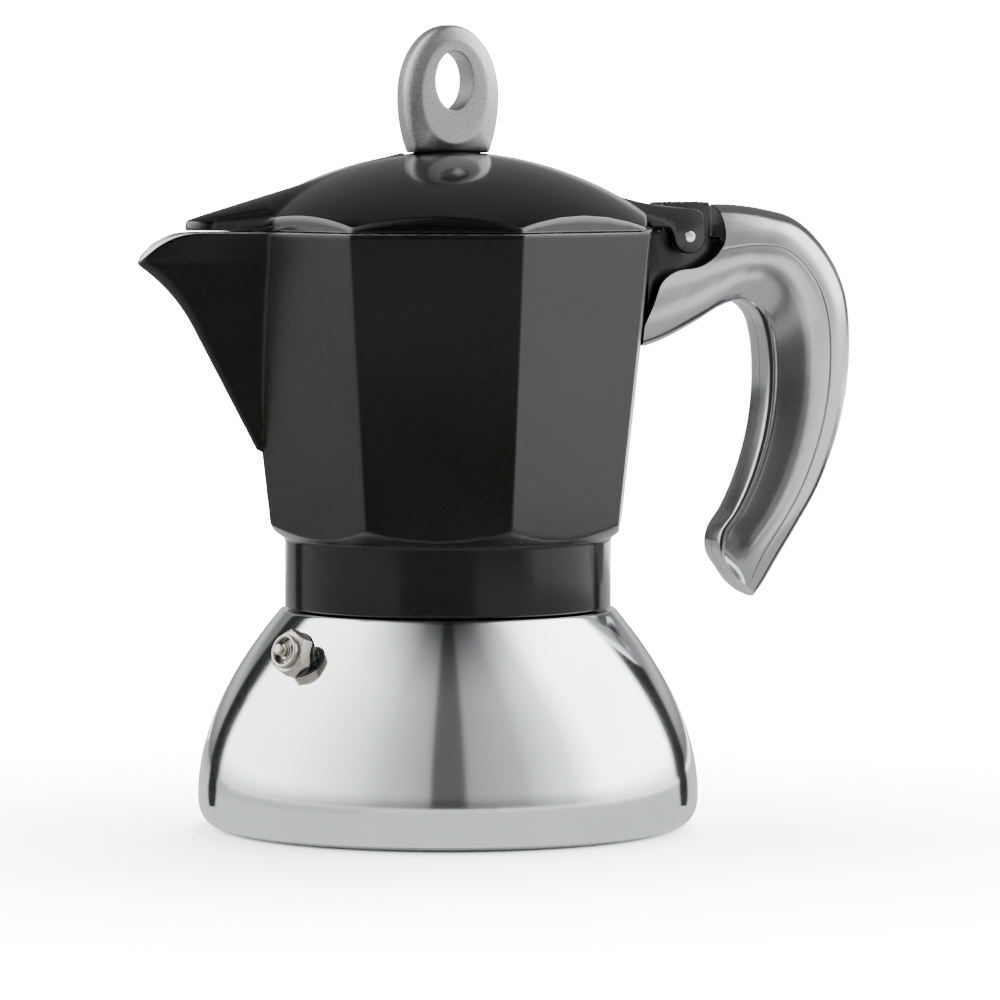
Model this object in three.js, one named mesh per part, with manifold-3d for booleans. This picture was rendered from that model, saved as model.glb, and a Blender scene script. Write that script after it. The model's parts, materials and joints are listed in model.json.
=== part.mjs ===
// A stovetop espresso pot: a steel boiler with a safety valve, a funnel for the coffee,
// and an eight-sided collector with a spout, a hinged lid and a two-shell handle.
// Millimetres, +Z up. The origin is the centre of the boiler's base, which stands at
// z = 0. The spout points to -X and the handle to +X.

import * as THREE from 'three';
import { mergeVertices } from 'three/addons/utils/BufferGeometryUtils.js';
import Module from 'manifold-3d';

const wasm = await Module();
wasm.setup();

// ---------------------------------------------------------------- driving dimensions

const clearance = 0.3; // gap kept between pieces that touch
const roundSegments = 40; // facets round a large turned piece
const smallSegments = 24; // facets round a small turned piece
const overshoot = 1; // how far a cut runs past the face it opens

// Boiler
const boilerRadius = 50; // widest, just above the base
const boilerHeight = 43.7; // base to shoulder
const boilerWall = 1.4;
const boilerFloor = 3;
const baseFlatRadius = 44;
const baseRoundHeight = 6.5; // height of the rounded foot
const sideControlHeight = 24; // control point of the curved side
const shoulderRadius = 33.4;
const neckRadius = 28.6; // outside, at the root of the thread
const neckWall = 1.4;
const neckLength = 11.8;

// Screw joint between boiler and collector
const threadPitch = 2.5;
const threadDepth = 1;
const threadTurns = 2.4;
const threadRootHalf = 0.6; // half thickness of a ridge where it leaves its wall
const threadCrestHalf = 0.3;
const threadSink = 0.6; // how deep a ridge starts inside its wall

// Funnel, gasket and filter plate
const sheetThickness = 0.8;
const basketWall = 0.7;
const basketDepth = 18;
const basketConeDepth = 7;
const funnelTubeRadius = 4.6;
const funnelTubeWall = 1;
const funnelFootGap = 6; // open height under the tube
const flangeOverlap = 0.2; // funnel flange inside the thread root radius
const gasketHeight = 2.6;
const gasketWidth = 4.2;
const filterHoleRadius = 0.9;
const filterRings = [1, 6, 12, 16]; // holes in each ring, from the centre out
const funnelPlateRings = [1, 6, 12];
const plateRim = 4.3; // from the outermost holes' centres to the edge

// Safety valve
const valveAzimuth = THREE.MathUtils.degToRad(204); // from +X towards +Y
const valveLean = THREE.MathUtils.degToRad(19.9); // outward axis below the side's normal
const valveOnSide = 0.81; // place along the curved side, 0 at the foot, 1 at the shoulder
const valveProud = 1.2; // boss face beyond the curved side
const valveBossRadius = 5.8;
const valveBossDepth = 4;
const valveShankRadius = 3;
const valveBoreRadius = 2.1;
const valveHexRadius = 4.7; // across corners / 2
const valveHexHeight = 3;
const valveCollarRadius = 3.5;
const valveCollarHeight = 1.4;
const valveShankLength = 5.5;
const valveWasherHeight = 0.6;
const valveWasherRadius = 5.1;
const stemRadius = 0.9;
const stemHeadRadius = 1.15;
const stemHeadHeight = 1;
const stemHoleRadius = 1.25;
const plugRadius = 1.7;
const plugHeight = 0.8;
const seatRadius = 1.8;
const seatHoleRadius = 0.9;
const seatHeight = 0.9;
const springWire = 0.22; // wire radius
const springRadius = 1.47; // to the wire's centre
const springTurns = 6;
const springSteps = 10; // steps in a turn

// Collector
const collectorRimHeight = 119; // above the base
const rimRadius = 44; // octagon corner at the rim
const footRadius = 37.3; // octagon corner at the foot
const wallThickness = 2.3;
const collarInset = 0.8; // collar inside the boiler's shoulder
const collarHeight = 13.7;
const footRise = 3.5; // height of the cone between collar and octagon
const floorThickness = 2.4;
const columnFootRadius = 6.5;
const columnTopRadius = 5.2;
const columnBore = 3.4;
const columnDrop = 15; // column top below the rim
const columnWindow = 4.4;

// Spout
const spoutReach = 20.4; // tip beyond the octagon corner
const spoutTipDrop = 6.3; // tip below the rim
const spoutHeight = 45.5; // foot of the spout below the rim
const spoutKneeReach = 9; // where the straight ridge turns into the lip
const spoutKneeDrop = 18.8;
const spoutHalfWidth = 9.8; // on the facets, at the rim
const spoutTipHalfWidth = 2.9;
const spoutWall = 1.5;

// Lid
const lidInset = 0.8; // lid corner inside the rim corner
const lidRise = 15.4; // dome above the lid's lower edge
const lidEdge = 0.5; // upright edge at the corners
const lidThickness = 2.2;
const coverReach = 10.5; // spout cover beyond the rim corner
const coverStart = 9.7; // start of the cover's ridge, from the axis
const coverHalfWidth = 9.4;
const coverNoseHalfWidth = 4.6;

// Hinge
const pinOutset = 5.1; // pin axis beyond the rim corner
const pinDrop = 1.5; // pin axis below the rim
const pinRadius = 1.15;
const earRadius = 3.4;
const earThickness = 2.8;
const earTop = 6.1; // ear above the pin axis
const lugHalfWidth = 3.9;
const lugTop = 6.9; // above the pin axis
const lugFront = 4.9; // before the pin axis
const lugBack = 5.6; // behind the pin axis
const tongueLength = 13.5; // behind the pin axis
const tongueTop = -0.5;
const tongueBottom = -9.5;
const lugFoot = -18; // where the lug leaves the body, below the pin axis
const earCorner = 3; // rounded corner of the ear

// Knob
const knobThickness = 8.5;
const knobBaseHalf = 7.7;
const knobHalfWidth = 9.9;
const knobHeight = 25.4;
const knobHoleHalfWidth = 3.9;
const knobHoleHalfHeight = 5.8;
const knobHoleDrop = 11.1; // hole centre below the top
const knobBevel = 2;
const knobScrewRadius = 1.5;
const knobScrewHead = 3;
const knobScrewHeadHeight = 1.6;
const knobScrewLength = 6;

// Handle. Each station is [inner x, inner z, outer x, outer z, width share], from the
// body round to the tip, measured from the hinge pin's axis.
const handleStations = [
  [-13.1, -24.5, 0.9, 6.3, 0.86],
  [2.8, -16.7, 11.9, 6.3, 0.92],
  [12.1, -13.2, 24.9, 3.5, 1],
  [17.1, -19.0, 35.8, -11.0, 1],
  [17.9, -29.5, 36.5, -29.0, 1],
  [14.5, -46.5, 30.3, -49.0, 0.97],
  [8.5, -57.5, 21.4, -65.2, 0.9],
  [8.0, -64.5, 17.2, -71.6, 0.82],
  [10.6, -68.6, 15.8, -73.2, 0.7],
];
const handleSteps = 26;
const handleWall = 2.2;
// Half section, [share of the depth from the inner face, half width].
const handleSection = [[0, 6.4], [0.2, 5.6], [0.4, 7.8], [0.56, 9.2], [0.7, 8.8], [0.88, 6]];
const seamGap = 0.15; // each shell stops this far from the middle plane
// Edge of the handle round the hinge, from the top down, measured from the pin's axis.
const handleNotch = [[7.6, 7], [7.8, 1.5], [7.2, -1.5], [5.1, -4.2], [2, -6.1], [-3, -7],
  [-6, -9.2], [-7.6, -13.5], [-10.4, -21]];
const screwRadius = 1.5;
const screwHeadRadius = 3;
const screwHeadHeight = 2;
const screwThreadReach = 5; // screw point beyond the seam
const upperScrewAt = [10, -5]; // from the pin's axis, through the tongue
const lowerScrewAt = [23.2, -48];
const handleHollows = [[0.2, 0.55], [0.7, 0.86]]; // stretches of the handle left hollow

// ---------------------------------------------------------------------- derived levels

const neckTop = boilerHeight + neckLength;
const collarBottom = boilerHeight + clearance;
const collarTop = collarBottom + collarHeight;
const footHeight = collarTop + footRise;
const collarRadius = shoulderRadius - collarInset;
const threadMajor = neckRadius + threadDepth + clearance;
const flangeBottom = neckTop + clearance;
const flangeTop = flangeBottom + sheetThickness;
const gasketBottom = flangeTop + clearance;
const gasketTop = gasketBottom + gasketHeight;
const gasketRadius = threadMajor - 2 * clearance;
const ceiling = gasketTop + clearance;
const collectorFloor = ceiling + floorThickness;
const basketRadius = neckRadius - neckWall - 2 * clearance;
const lidBottom = collectorRimHeight + clearance;
const lidRadius = rimRadius - lidInset;
const lidApex = lidBottom + lidRise;
const domeRise = lidRise - lidEdge;
const domeRadius = (lidRadius ** 2 + domeRise ** 2) / (2 * domeRise);
const pinX = rimRadius + pinOutset;
const pinZ = collectorRimHeight - pinDrop;
const earInner = lugHalfWidth + clearance;
const earOuter = earInner + earThickness;
const flat = Math.cos(Math.PI / 8); // apothem of an octagon of unit corner radius

// --------------------------------------------------------------------------- materials

const finish = (color, roughness, metalness) =>
  new THREE.MeshStandardMaterial({ color, roughness, metalness });
const steel = finish(0xd4d6d8, 0.16, 1);
const blackPaint = finish(0x2b2b2d, 0.35, 0);
const aluminium = finish(0xb6b8ba, 0.45, 1);
const brass = finish(0xb9a677, 0.35, 1);
const greyPlastic = finish(0x9b9b9d, 0.4, 0.3);
const rubber = finish(0xd9d7d0, 0.8, 0);

// ------------------------------------------------------------------------ solid helpers

function signedVolume(positions, triangles) {
  const corner = [0, 1, 2].map(() => new THREE.Vector3());
  let volume = 0;
  for (let i = 0; i < triangles.length; i += 3) {
    corner.forEach((point, k) => point.fromArray(positions, 3 * triangles[i + k]));
    volume += corner[0].dot(corner[1].cross(corner[2])) / 6;
  }
  return volume;
}

// Turns a closed three.js geometry into a solid, with its faces pointing out.
function solid(geometry) {
  geometry.deleteAttribute('normal');
  geometry.deleteAttribute('uv');
  const merged = mergeVertices(geometry, 1e-4);
  const index = merged.index.array;
  const positions = merged.attributes.position.array;
  const triangles = [];
  for (let i = 0; i < index.length; i += 3) {
    const [a, b, c] = [index[i], index[i + 1], index[i + 2]];
    if (a !== b && b !== c && c !== a) triangles.push(a, b, c);
  }
  if (signedVolume(positions, triangles) < 0) triangles.reverse();
  return new wasm.Manifold(new wasm.Mesh({
    numProp: 3,
    vertProperties: Float32Array.from(positions),
    triVerts: Uint32Array.from(triangles),
  }));
}

function geometryOf(body) {
  const mesh = body.getMesh();
  const geometry = new THREE.BufferGeometry();
  geometry.setAttribute('position', new THREE.BufferAttribute(mesh.vertProperties, 3));
  geometry.setIndex(new THREE.BufferAttribute(mesh.triVerts, 1));
  geometry.computeVertexNormals();
  return geometry;
}

function named(name, body, material) {
  const mesh = new THREE.Mesh(geometryOf(body), material);
  mesh.name = name;
  return mesh;
}

// A profile of [radius, height] turned about Z.
function turnedGeometry(profile, segments) {
  const points = profile.map(([radius, height]) => new THREE.Vector2(radius, height));
  return new THREE.LatheGeometry(points, segments).rotateX(Math.PI / 2);
}

function turned(profile, segments = roundSegments) {
  return solid(turnedGeometry(profile, segments));
}

// A plain rod or, with a bore, a tube about Z.
function rodProfile(radius, low, high, bore = 0) {
  const inside = bore > 0 ? [[bore, high], [bore, low]] : [[0, high]];
  const start = bore > 0 ? [bore, low] : [0, low];
  return [start, [radius, low], [radius, high], ...inside];
}

const rod = (radius, low, high, bore = 0, segments = smallSegments) =>
  turned(rodProfile(radius, low, high, bore), segments);

// A rod whose axis runs along Y through (x, z).
function crossRod(x, z, radius, low, high, segments = smallSegments) {
  const geometry = turnedGeometry(rodProfile(radius, -high, -low), segments);
  return solid(geometry.rotateX(Math.PI / 2).translate(x, 0, z));
}

// A closed skin over rings that all have the same number of points.
function loft(rings) {
  const count = rings[0].length;
  const points = rings.flat();
  const triangles = [];
  for (let i = 0; i + 1 < rings.length; i += 1) {
    for (let j = 0; j < count; j += 1) {
      const a = i * count + j;
      const b = i * count + ((j + 1) % count);
      triangles.push(a, b, a + count, b, b + count, a + count);
    }
  }
  const last = (rings.length - 1) * count;
  const centre = (ring) =>
    ring.reduce((sum, point) => sum.add(point), new THREE.Vector3()).divideScalar(count);
  points.push(centre(rings[0]), centre(rings.at(-1)));
  for (let j = 0; j < count; j += 1) {
    const next = (j + 1) % count;
    triangles.push(next, j, points.length - 2);
    triangles.push(last + j, last + next, points.length - 1);
  }
  const geometry = new THREE.BufferGeometry().setFromPoints(points);
  geometry.setIndex(triangles);
  return solid(geometry);
}

// An outline in the XZ plane, given thickness along Y.
function plate(shape, low, high, segments = 8) {
  const options = { depth: high - low, bevelEnabled: false, curveSegments: segments };
  const geometry = new THREE.ExtrudeGeometry(shape, options);
  return solid(geometry.rotateX(Math.PI / 2).translate(0, high, 0));
}

const outline = (points) => new THREE.Shape(points.map(([x, y]) => new THREE.Vector2(x, y)));

function block(low, high) {
  const size = high.map((value, i) => value - low[i]);
  const middle = high.map((value, i) => (value + low[i]) / 2);
  return solid(new THREE.BoxGeometry(...size).translate(...middle));
}

const circle = (radius, count, x = 0, y = 0) => Array.from({ length: count }, (_, i) => {
  const angle = (2 * Math.PI * i) / count;
  return [x + radius * Math.cos(angle), y + radius * Math.sin(angle)];
});

const octagon = (radius, z) =>
  circle(radius, 8).map(([x, y]) => new THREE.Vector3(x, y, z));

// A ridge that winds round Z: right-handed, with its base sunk in a wall.
function threadRidge(baseRadius, crestRadius, low, startAngle) {
  const steps = Math.round(threadTurns * roundSegments);
  const rings = [];
  for (let i = 0; i <= steps; i += 1) {
    const angle = startAngle + (2 * Math.PI * i) / roundSegments;
    const z = low + (threadPitch * i) / roundSegments;
    const corner = (radius, height) =>
      new THREE.Vector3(radius * Math.cos(angle), radius * Math.sin(angle), z + height);
    rings.push([
      corner(baseRadius, -threadRootHalf), corner(crestRadius, -threadCrestHalf),
      corner(crestRadius, threadCrestHalf), corner(baseRadius, threadRootHalf),
    ]);
  }
  return loft(rings);
}

// A round sheet with evenly spaced rings of round holes.
function perforatedDisc(radius, low, rings, holeRadius) {
  const shape = outline(circle(radius, roundSegments));
  const spacing = (radius - plateRim) / (rings.length - 1);
  rings.forEach((count, ring) => {
    circle(ring * spacing, count).forEach(([x, y]) => {
      const points = circle(holeRadius, 6, x, y).map(([u, v]) => new THREE.Vector2(u, v));
      shape.holes.push(new THREE.Path(points));
    });
  });
  const options = { depth: sheetThickness, bevelEnabled: false };
  return solid(new THREE.ExtrudeGeometry(shape, options).translate(0, 0, low));
}

// ------------------------------------------------------------------------- safety valve

// The curved side of the boiler, from the rounded foot to the shoulder.
const boilerSide = (inset) => new THREE.QuadraticBezierCurve(
  new THREE.Vector2(boilerRadius - inset, baseRoundHeight),
  new THREE.Vector2(boilerRadius - inset, sideControlHeight),
  new THREE.Vector2(shoulderRadius - inset, boilerHeight - (inset > 0 ? boilerWall : 0)),
);

function makeValveFrame() {
  const side = boilerSide(0);
  const onSide = side.getPoint(valveOnSide);
  const upSide = side.getTangent(valveOnSide);
  const valveTilt = Math.atan2(-upSide.x, upSide.y) - valveLean;
  const around = new THREE.Vector3(Math.cos(valveAzimuth), Math.sin(valveAzimuth), 0);
  const axis = around.clone().multiplyScalar(Math.cos(valveTilt));
  axis.z = Math.sin(valveTilt);
  const group = new THREE.Group();
  group.position.copy(around).multiplyScalar(onSide.x);
  group.position.z = onSide.y;
  group.position.addScaledVector(axis, valveProud);
  group.quaternion.setFromUnitVectors(new THREE.Vector3(0, 0, 1), axis);
  group.updateMatrix();
  return group;
}

// Along the valve's own axis, height 0 is the boss face and +Z points outward.
const valveFrame = makeValveFrame();
const hexLow = valveWasherHeight + 2 * clearance;
const hexHigh = hexLow + valveHexHeight;
const valveFront = hexHigh + valveCollarHeight;
const valveBack = -valveShankLength;
const plugLow = valveBack + seatHeight + clearance;
const springLow = plugLow + plugHeight + clearance + springWire;
const springHigh = hexHigh - clearance - springWire;

function valveBody() {
  const hex = new THREE.CylinderGeometry(valveHexRadius, valveHexRadius, valveHexHeight, 6);
  hex.rotateX(Math.PI / 2).translate(0, 0, (hexLow + hexHigh) / 2);
  return rod(valveShankRadius, valveBack, hexHigh)
    .add(solid(hex))
    .add(rod(valveCollarRadius, hexLow, valveFront))
    .subtract(rod(valveBoreRadius, valveBack - overshoot, hexHigh))
    .subtract(rod(stemHoleRadius, hexLow, valveFront + overshoot));
}

function valveStem() {
  const headLow = valveFront + clearance;
  return turned([
    [0, plugLow], [seatHoleRadius, plugLow], [plugRadius, plugLow + plugHeight / 2],
    [plugRadius, plugLow + plugHeight], [stemRadius, plugLow + plugHeight],
    [stemRadius, headLow], [stemHeadRadius, headLow],
    [stemHeadRadius, headLow + stemHeadHeight], [0, headLow + stemHeadHeight],
  ], smallSegments);
}

function valveSpring() {
  const rings = [];
  const steps = springTurns * springSteps;
  for (let i = 0; i <= steps; i += 1) {
    const angle = (2 * Math.PI * i) / springSteps;
    const z = THREE.MathUtils.lerp(springLow, springHigh, i / steps);
    rings.push(circle(springWire, 5).map(([across, up]) => new THREE.Vector3(
      (springRadius + across) * Math.cos(angle),
      (springRadius + across) * Math.sin(angle),
      z + up,
    )));
  }
  return loft(rings);
}

// ------------------------------------------------------------------------------- boiler

function boiler() {
  const side = boilerSide(0).getPoints(9).map((point) => [point.x, point.y]);
  const inside = boilerSide(boilerWall).getPoints(6).map((point) => [point.x, point.y]);
  const neckInner = neckRadius - neckWall;
  const foot = new THREE.QuadraticBezierCurve(
    new THREE.Vector2(baseFlatRadius, 0),
    new THREE.Vector2(boilerRadius, 0),
    new THREE.Vector2(boilerRadius, baseRoundHeight),
  ).getPoints(4).map((point) => [point.x, point.y]);
  const shell = turned([
    [0, 0], ...foot.slice(0, -1), ...side,
    [neckRadius, boilerHeight], [neckRadius, neckTop], [neckInner, neckTop],
    [neckInner, boilerHeight - boilerWall], ...inside.reverse(),
    [baseFlatRadius - boilerWall, boilerFloor], [0, boilerFloor],
  ]);
  const length = threadTurns * threadPitch;
  const ridge = threadRidge(neckRadius - threadSink, neckRadius + threadDepth,
    neckTop - overshoot - threadRootHalf - length, 0);
  const bossProfile = rodProfile(valveBossRadius, -valveBossDepth, 0);
  const boss = turnedGeometry(bossProfile, smallSegments).applyMatrix4(valveFrame.matrix);
  const holeProfile = rodProfile(valveShankRadius + clearance, -2 * valveBossDepth, overshoot);
  const hole = turnedGeometry(holeProfile, smallSegments).applyMatrix4(valveFrame.matrix);
  return shell.add(ridge).add(solid(boss)).subtract(solid(hole));
}

// ------------------------------------------------------- funnel, gasket and filter plate

const basketFloor = neckTop - basketDepth;
const funnelFoot = boilerFloor + funnelFootGap;

function funnel() {
  const neck = basketFloor - basketConeDepth;
  const bore = funnelTubeRadius - funnelTubeWall;
  return turned([
    [bore, funnelFoot], [funnelTubeRadius, funnelFoot], [funnelTubeRadius, neck],
    [basketRadius, basketFloor], [basketRadius, flangeBottom],
    [neckRadius - flangeOverlap, flangeBottom], [neckRadius - flangeOverlap, flangeTop],
    [basketRadius - basketWall, flangeTop], [basketRadius - basketWall, basketFloor],
    [bore, neck + basketWall], [bore, funnelFoot],
  ]);
}

function funnelPlate() {
  const radius = basketRadius - basketWall - 2 * clearance;
  return perforatedDisc(radius, basketFloor + clearance, funnelPlateRings, filterHoleRadius);
}

function gasket() {
  const bore = gasketRadius - gasketWidth;
  return rod(gasketRadius, gasketBottom, gasketTop, bore, roundSegments);
}

function filterPlate() {
  const radius = gasketRadius - gasketWidth - clearance;
  return perforatedDisc(radius, gasketBottom + clearance, filterRings, filterHoleRadius);
}

// ---------------------------------------------------------------------------- collector

const spoutTipX = -(rimRadius + spoutReach);
const spoutTipZ = collectorRimHeight - spoutTipDrop;
const spoutFootZ = collectorRimHeight - spoutHeight;

// Corner radius of the octagonal body at a height.
const cornerRadius = (z) => THREE.MathUtils.mapLinear(
  z, footHeight, collectorRimHeight, footRadius, rimRadius);

// The ridge under the spout: straight from its foot, then curving out into the lip.
function spoutRidge() {
  const foot = new THREE.Vector2(-cornerRadius(spoutFootZ), spoutFootZ);
  const knee = new THREE.Vector2(
    -(rimRadius + spoutKneeReach), collectorRimHeight - spoutKneeDrop);
  const tip = new THREE.Vector2(spoutTipX, spoutTipZ);
  const slope = (foot.x - knee.x) / (knee.y - foot.y);
  const bend = new THREE.Vector2(
    knee.x - slope * 0.6 * (tip.y - knee.y), knee.y + 0.6 * (tip.y - knee.y));
  const lip = new THREE.QuadraticBezierCurve(knee, bend, tip);
  return [foot, ...lip.getPoints(6)];
}

// Level sections of the spout from its foot to the rim, drawn in by an inset.
function spoutBody(inset, top) {
  const ridge = spoutRidge();
  const levels = [...ridge, new THREE.Vector2(spoutTipX, top)];
  const rings = levels.map((point) => {
    const share = THREE.MathUtils.clamp((point.y - spoutFootZ) / spoutHeight, 0.02, 1.05);
    const half = Math.max(spoutHalfWidth * share - inset * 1.2, 0.15);
    const apex = point.x + inset * 1.4;
    const rootX = -cornerRadius(point.y) * flat ** 2 + inset;
    const tip = Math.max(spoutTipHalfWidth * share ** 2 - inset * 0.9, 0.1);
    const inner = rootX + 2 * wallThickness + 3;
    const reach = Math.min(apex, rootX - 0.2);
    const draw = (x, y) => new THREE.Vector3(x, y, point.y);
    return [
      draw(inner, half), draw(rootX, half), draw(reach + tip * 0.5, tip * 0.85),
      draw(reach, 0), draw(reach + tip * 0.5, -tip * 0.85), draw(rootX, -half),
      draw(inner, -half),
    ];
  });
  return loft(rings);
}

// The curve of the pouring lip: everything above it is open.
function aboveLip() {
  const start = -(rimRadius + spoutKneeReach);
  const shape = new THREE.Shape();
  shape.moveTo(start, collectorRimHeight);
  shape.quadraticCurveTo(start - 7, collectorRimHeight, spoutTipX - 0.4, spoutTipZ + 0.2);
  shape.lineTo(spoutTipX - 10, spoutTipZ + 0.2);
  shape.lineTo(spoutTipX - 10, collectorRimHeight + 30);
  shape.lineTo(rimRadius + 30, collectorRimHeight + 30);
  shape.lineTo(rimRadius + 30, collectorRimHeight);
  return plate(shape, -2 * rimRadius, 2 * rimRadius);
}

// The octagonal prism with a cone that rounds off its lower edges.
function collectorOutside(grow = 0) {
  const top = collectorRimHeight + overshoot;
  const prism = loft([
    octagon(cornerRadius(collarTop) + grow, collarTop), octagon(cornerRadius(top) + grow, top),
  ]);
  const flare = (footRadius - collarRadius) / footRise;
  const wide = rimRadius + 5;
  const envelope = turned([
    [0, collarTop], [collarRadius + grow, collarTop],
    [wide, collarTop + (wide - collarRadius - grow) / flare], [wide, top], [0, top],
  ]);
  return prism.intersect(envelope);
}

function collectorInside() {
  const inset = wallThickness / flat;
  const top = collectorRimHeight + 2 * overshoot;
  const chamber = loft([
    octagon(cornerRadius(collectorFloor) - inset, collectorFloor),
    octagon(cornerRadius(top) - inset, top),
  ]);
  const socket = turned([
    [0, collarBottom - overshoot], [threadMajor, collarBottom - overshoot],
    [threadMajor, ceiling], [0, ceiling],
  ]);
  return [chamber, socket];
}

function column() {
  const top = collectorRimHeight - columnDrop;
  return turned([
    [0, ceiling + 1], [columnFootRadius, ceiling + 1], [columnTopRadius, top - 3],
    [columnTopRadius * 0.7, top - 0.7], [0, top],
  ], smallSegments);
}

function columnBores() {
  const top = collectorRimHeight - columnDrop - 3;
  const bore = rod(columnBore, ceiling - overshoot, top);
  const low = top - columnWindow;
  const across = 2 * columnFootRadius;
  const window = block([-across, -columnWindow / 2, low], [across, columnWindow / 2, top]);
  return bore.add(window);
}

// The block that carries the hinge pin, with the tongue that holds the handle.
function lug() {
  const left = rimRadius - wallThickness;
  const shape = outline([
    [left, pinZ + lugFoot], [pinX - 3, pinZ + lugFoot + 3], [pinX + 6, pinZ + tongueBottom],
    [pinX + tongueLength, pinZ + tongueBottom],
    [pinX + tongueLength, pinZ + tongueTop], [pinX + lugBack, pinZ + tongueTop],
    [pinX + lugBack, pinZ + lugTop], [pinX - lugFront, pinZ + lugTop],
    [pinX - lugFront, collectorRimHeight], [left, collectorRimHeight],
  ]);
  return plate(shape, -lugHalfWidth, lugHalfWidth)
    .subtract(crossRod(pinX, pinZ, pinRadius + clearance, -earOuter, earOuter))
    .subtract(crossRod(pinX + upperScrewAt[0], pinZ + upperScrewAt[1],
      screwRadius + clearance, -earOuter, earOuter));
}

function collector() {
  const top = collectorRimHeight + overshoot;
  const outside = collectorOutside().add(spoutBody(0, top)).add(
    rod(collarRadius, collarBottom, collarTop, 0, roundSegments));
  const [chamber, socket] = collectorInside();
  const hollow = chamber.add(spoutBody(spoutWall, top + overshoot));
  const ridgeLow = neckTop - overshoot - threadRootHalf - threadTurns * threadPitch;
  const ridge = threadRidge(threadMajor + threadSink, threadMajor - threadDepth,
    ridgeLow - threadPitch / 2, 0);
  return outside.subtract(hollow).subtract(aboveLip()).subtract(socket)
    .add(ridge).add(column()).subtract(columnBores())
    .add(lug().subtract(hollow));
}

// ---------------------------------------------------------------------------------- lid

function dome(radius, thickness) {
  const centre = lidApex - domeRadius;
  const steps = 8;
  const profile = [[0, lidBottom - 20]];
  const angle = Math.asin(Math.min((radius + 4) / (domeRadius - thickness), 1));
  profile.push([(domeRadius - thickness) * Math.sin(angle), lidBottom - 20]);
  for (let i = steps; i >= 0; i -= 1) {
    const a = (angle * i) / steps;
    const reach = domeRadius - thickness;
    profile.push([reach * Math.sin(a), centre + reach * Math.cos(a)]);
  }
  return turned(profile);
}

function domed(radius, thickness, low) {
  const prism = loft([octagon(radius, low), octagon(radius, lidApex + overshoot)]);
  return prism.intersect(dome(radius, thickness));
}

// The cover over the spout: a round-backed roof that falls in a straight ridge.
function spoutCover(inset, low) {
  const noseX = -(rimRadius + coverReach);
  const stations = 7;
  const rings = [];
  for (let i = 0; i <= stations; i += 1) {
    const share = i / stations;
    const x = THREE.MathUtils.lerp(-coverStart, noseX + inset, share);
    const fall = (lidApex - lidBottom - 3.4) * share;
    const ridge = lidApex - 0.4 - inset - fall;
    const widthShare = THREE.MathUtils.clamp((-x - 39.9) / (-noseX - 39.9), 0, 1);
    const half = THREE.MathUtils.lerp(coverHalfWidth, coverNoseHalfWidth, widthShare) - inset;
    const ring = [];
    for (let k = 0; k <= 8; k += 1) {
      const angle = (Math.PI * k) / 8;
      const bulge = Math.sin(angle) ** 0.8;
      ring.push(new THREE.Vector3(x, half * Math.cos(angle), low + (ridge - low) * bulge));
    }
    rings.push(ring);
  }
  return loft(rings);
}

function ear(side) {
  const shape = new THREE.Shape();
  const right = pinX + earRadius;
  const top = pinZ + earTop;
  shape.moveTo(rimRadius - 14, lidBottom);
  shape.lineTo(rimRadius - 14, lidBottom + 5.5);
  shape.lineTo(rimRadius - 5, top + 0.8);
  shape.lineTo(right - earCorner, top - 0.4);
  shape.quadraticCurveTo(right, top - 0.4, right, top - 0.4 - earCorner);
  shape.lineTo(right, pinZ);
  shape.absarc(pinX, pinZ, earRadius, 0, -Math.PI, true);
  shape.lineTo(pinX - earRadius, lidBottom);
  const low = side > 0 ? earInner : -earOuter;
  const high = side > 0 ? earOuter : -earInner;
  return plate(shape, low, high);
}

function lid() {
  const inset = 3;
  const hollow = domed(lidRadius - inset, lidThickness, lidBottom - overshoot)
    .add(spoutCover(lidThickness * 0.8, lidBottom - overshoot))
    .subtract(block([rimRadius - 6.2, -rimRadius, 0], [rimRadius, rimRadius, 2 * lidApex]));
  const reach = Math.hypot(lugFront, lugTop) + 2 * clearance;
  const notch = crossRod(pinX, pinZ, reach, -earInner, earInner);
  return domed(lidRadius, 0, lidBottom).add(spoutCover(0, lidBottom))
    .add(ear(1)).add(ear(-1))
    .subtract(hollow).subtract(notch)
    .subtract(block([rimRadius - overshoot, -earInner, 0], [2 * pinX, earInner, 2 * lidApex]))
    .subtract(crossRod(pinX, pinZ, pinRadius + clearance, -2 * earOuter, 2 * earOuter))
    .subtract(rod(knobScrewRadius + clearance, lidBottom, lidApex + overshoot));
}

// --------------------------------------------------------------------------------- knob

const knobBottom = lidApex - 0.3;
const knobTop = knobBottom + knobHeight;

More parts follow.
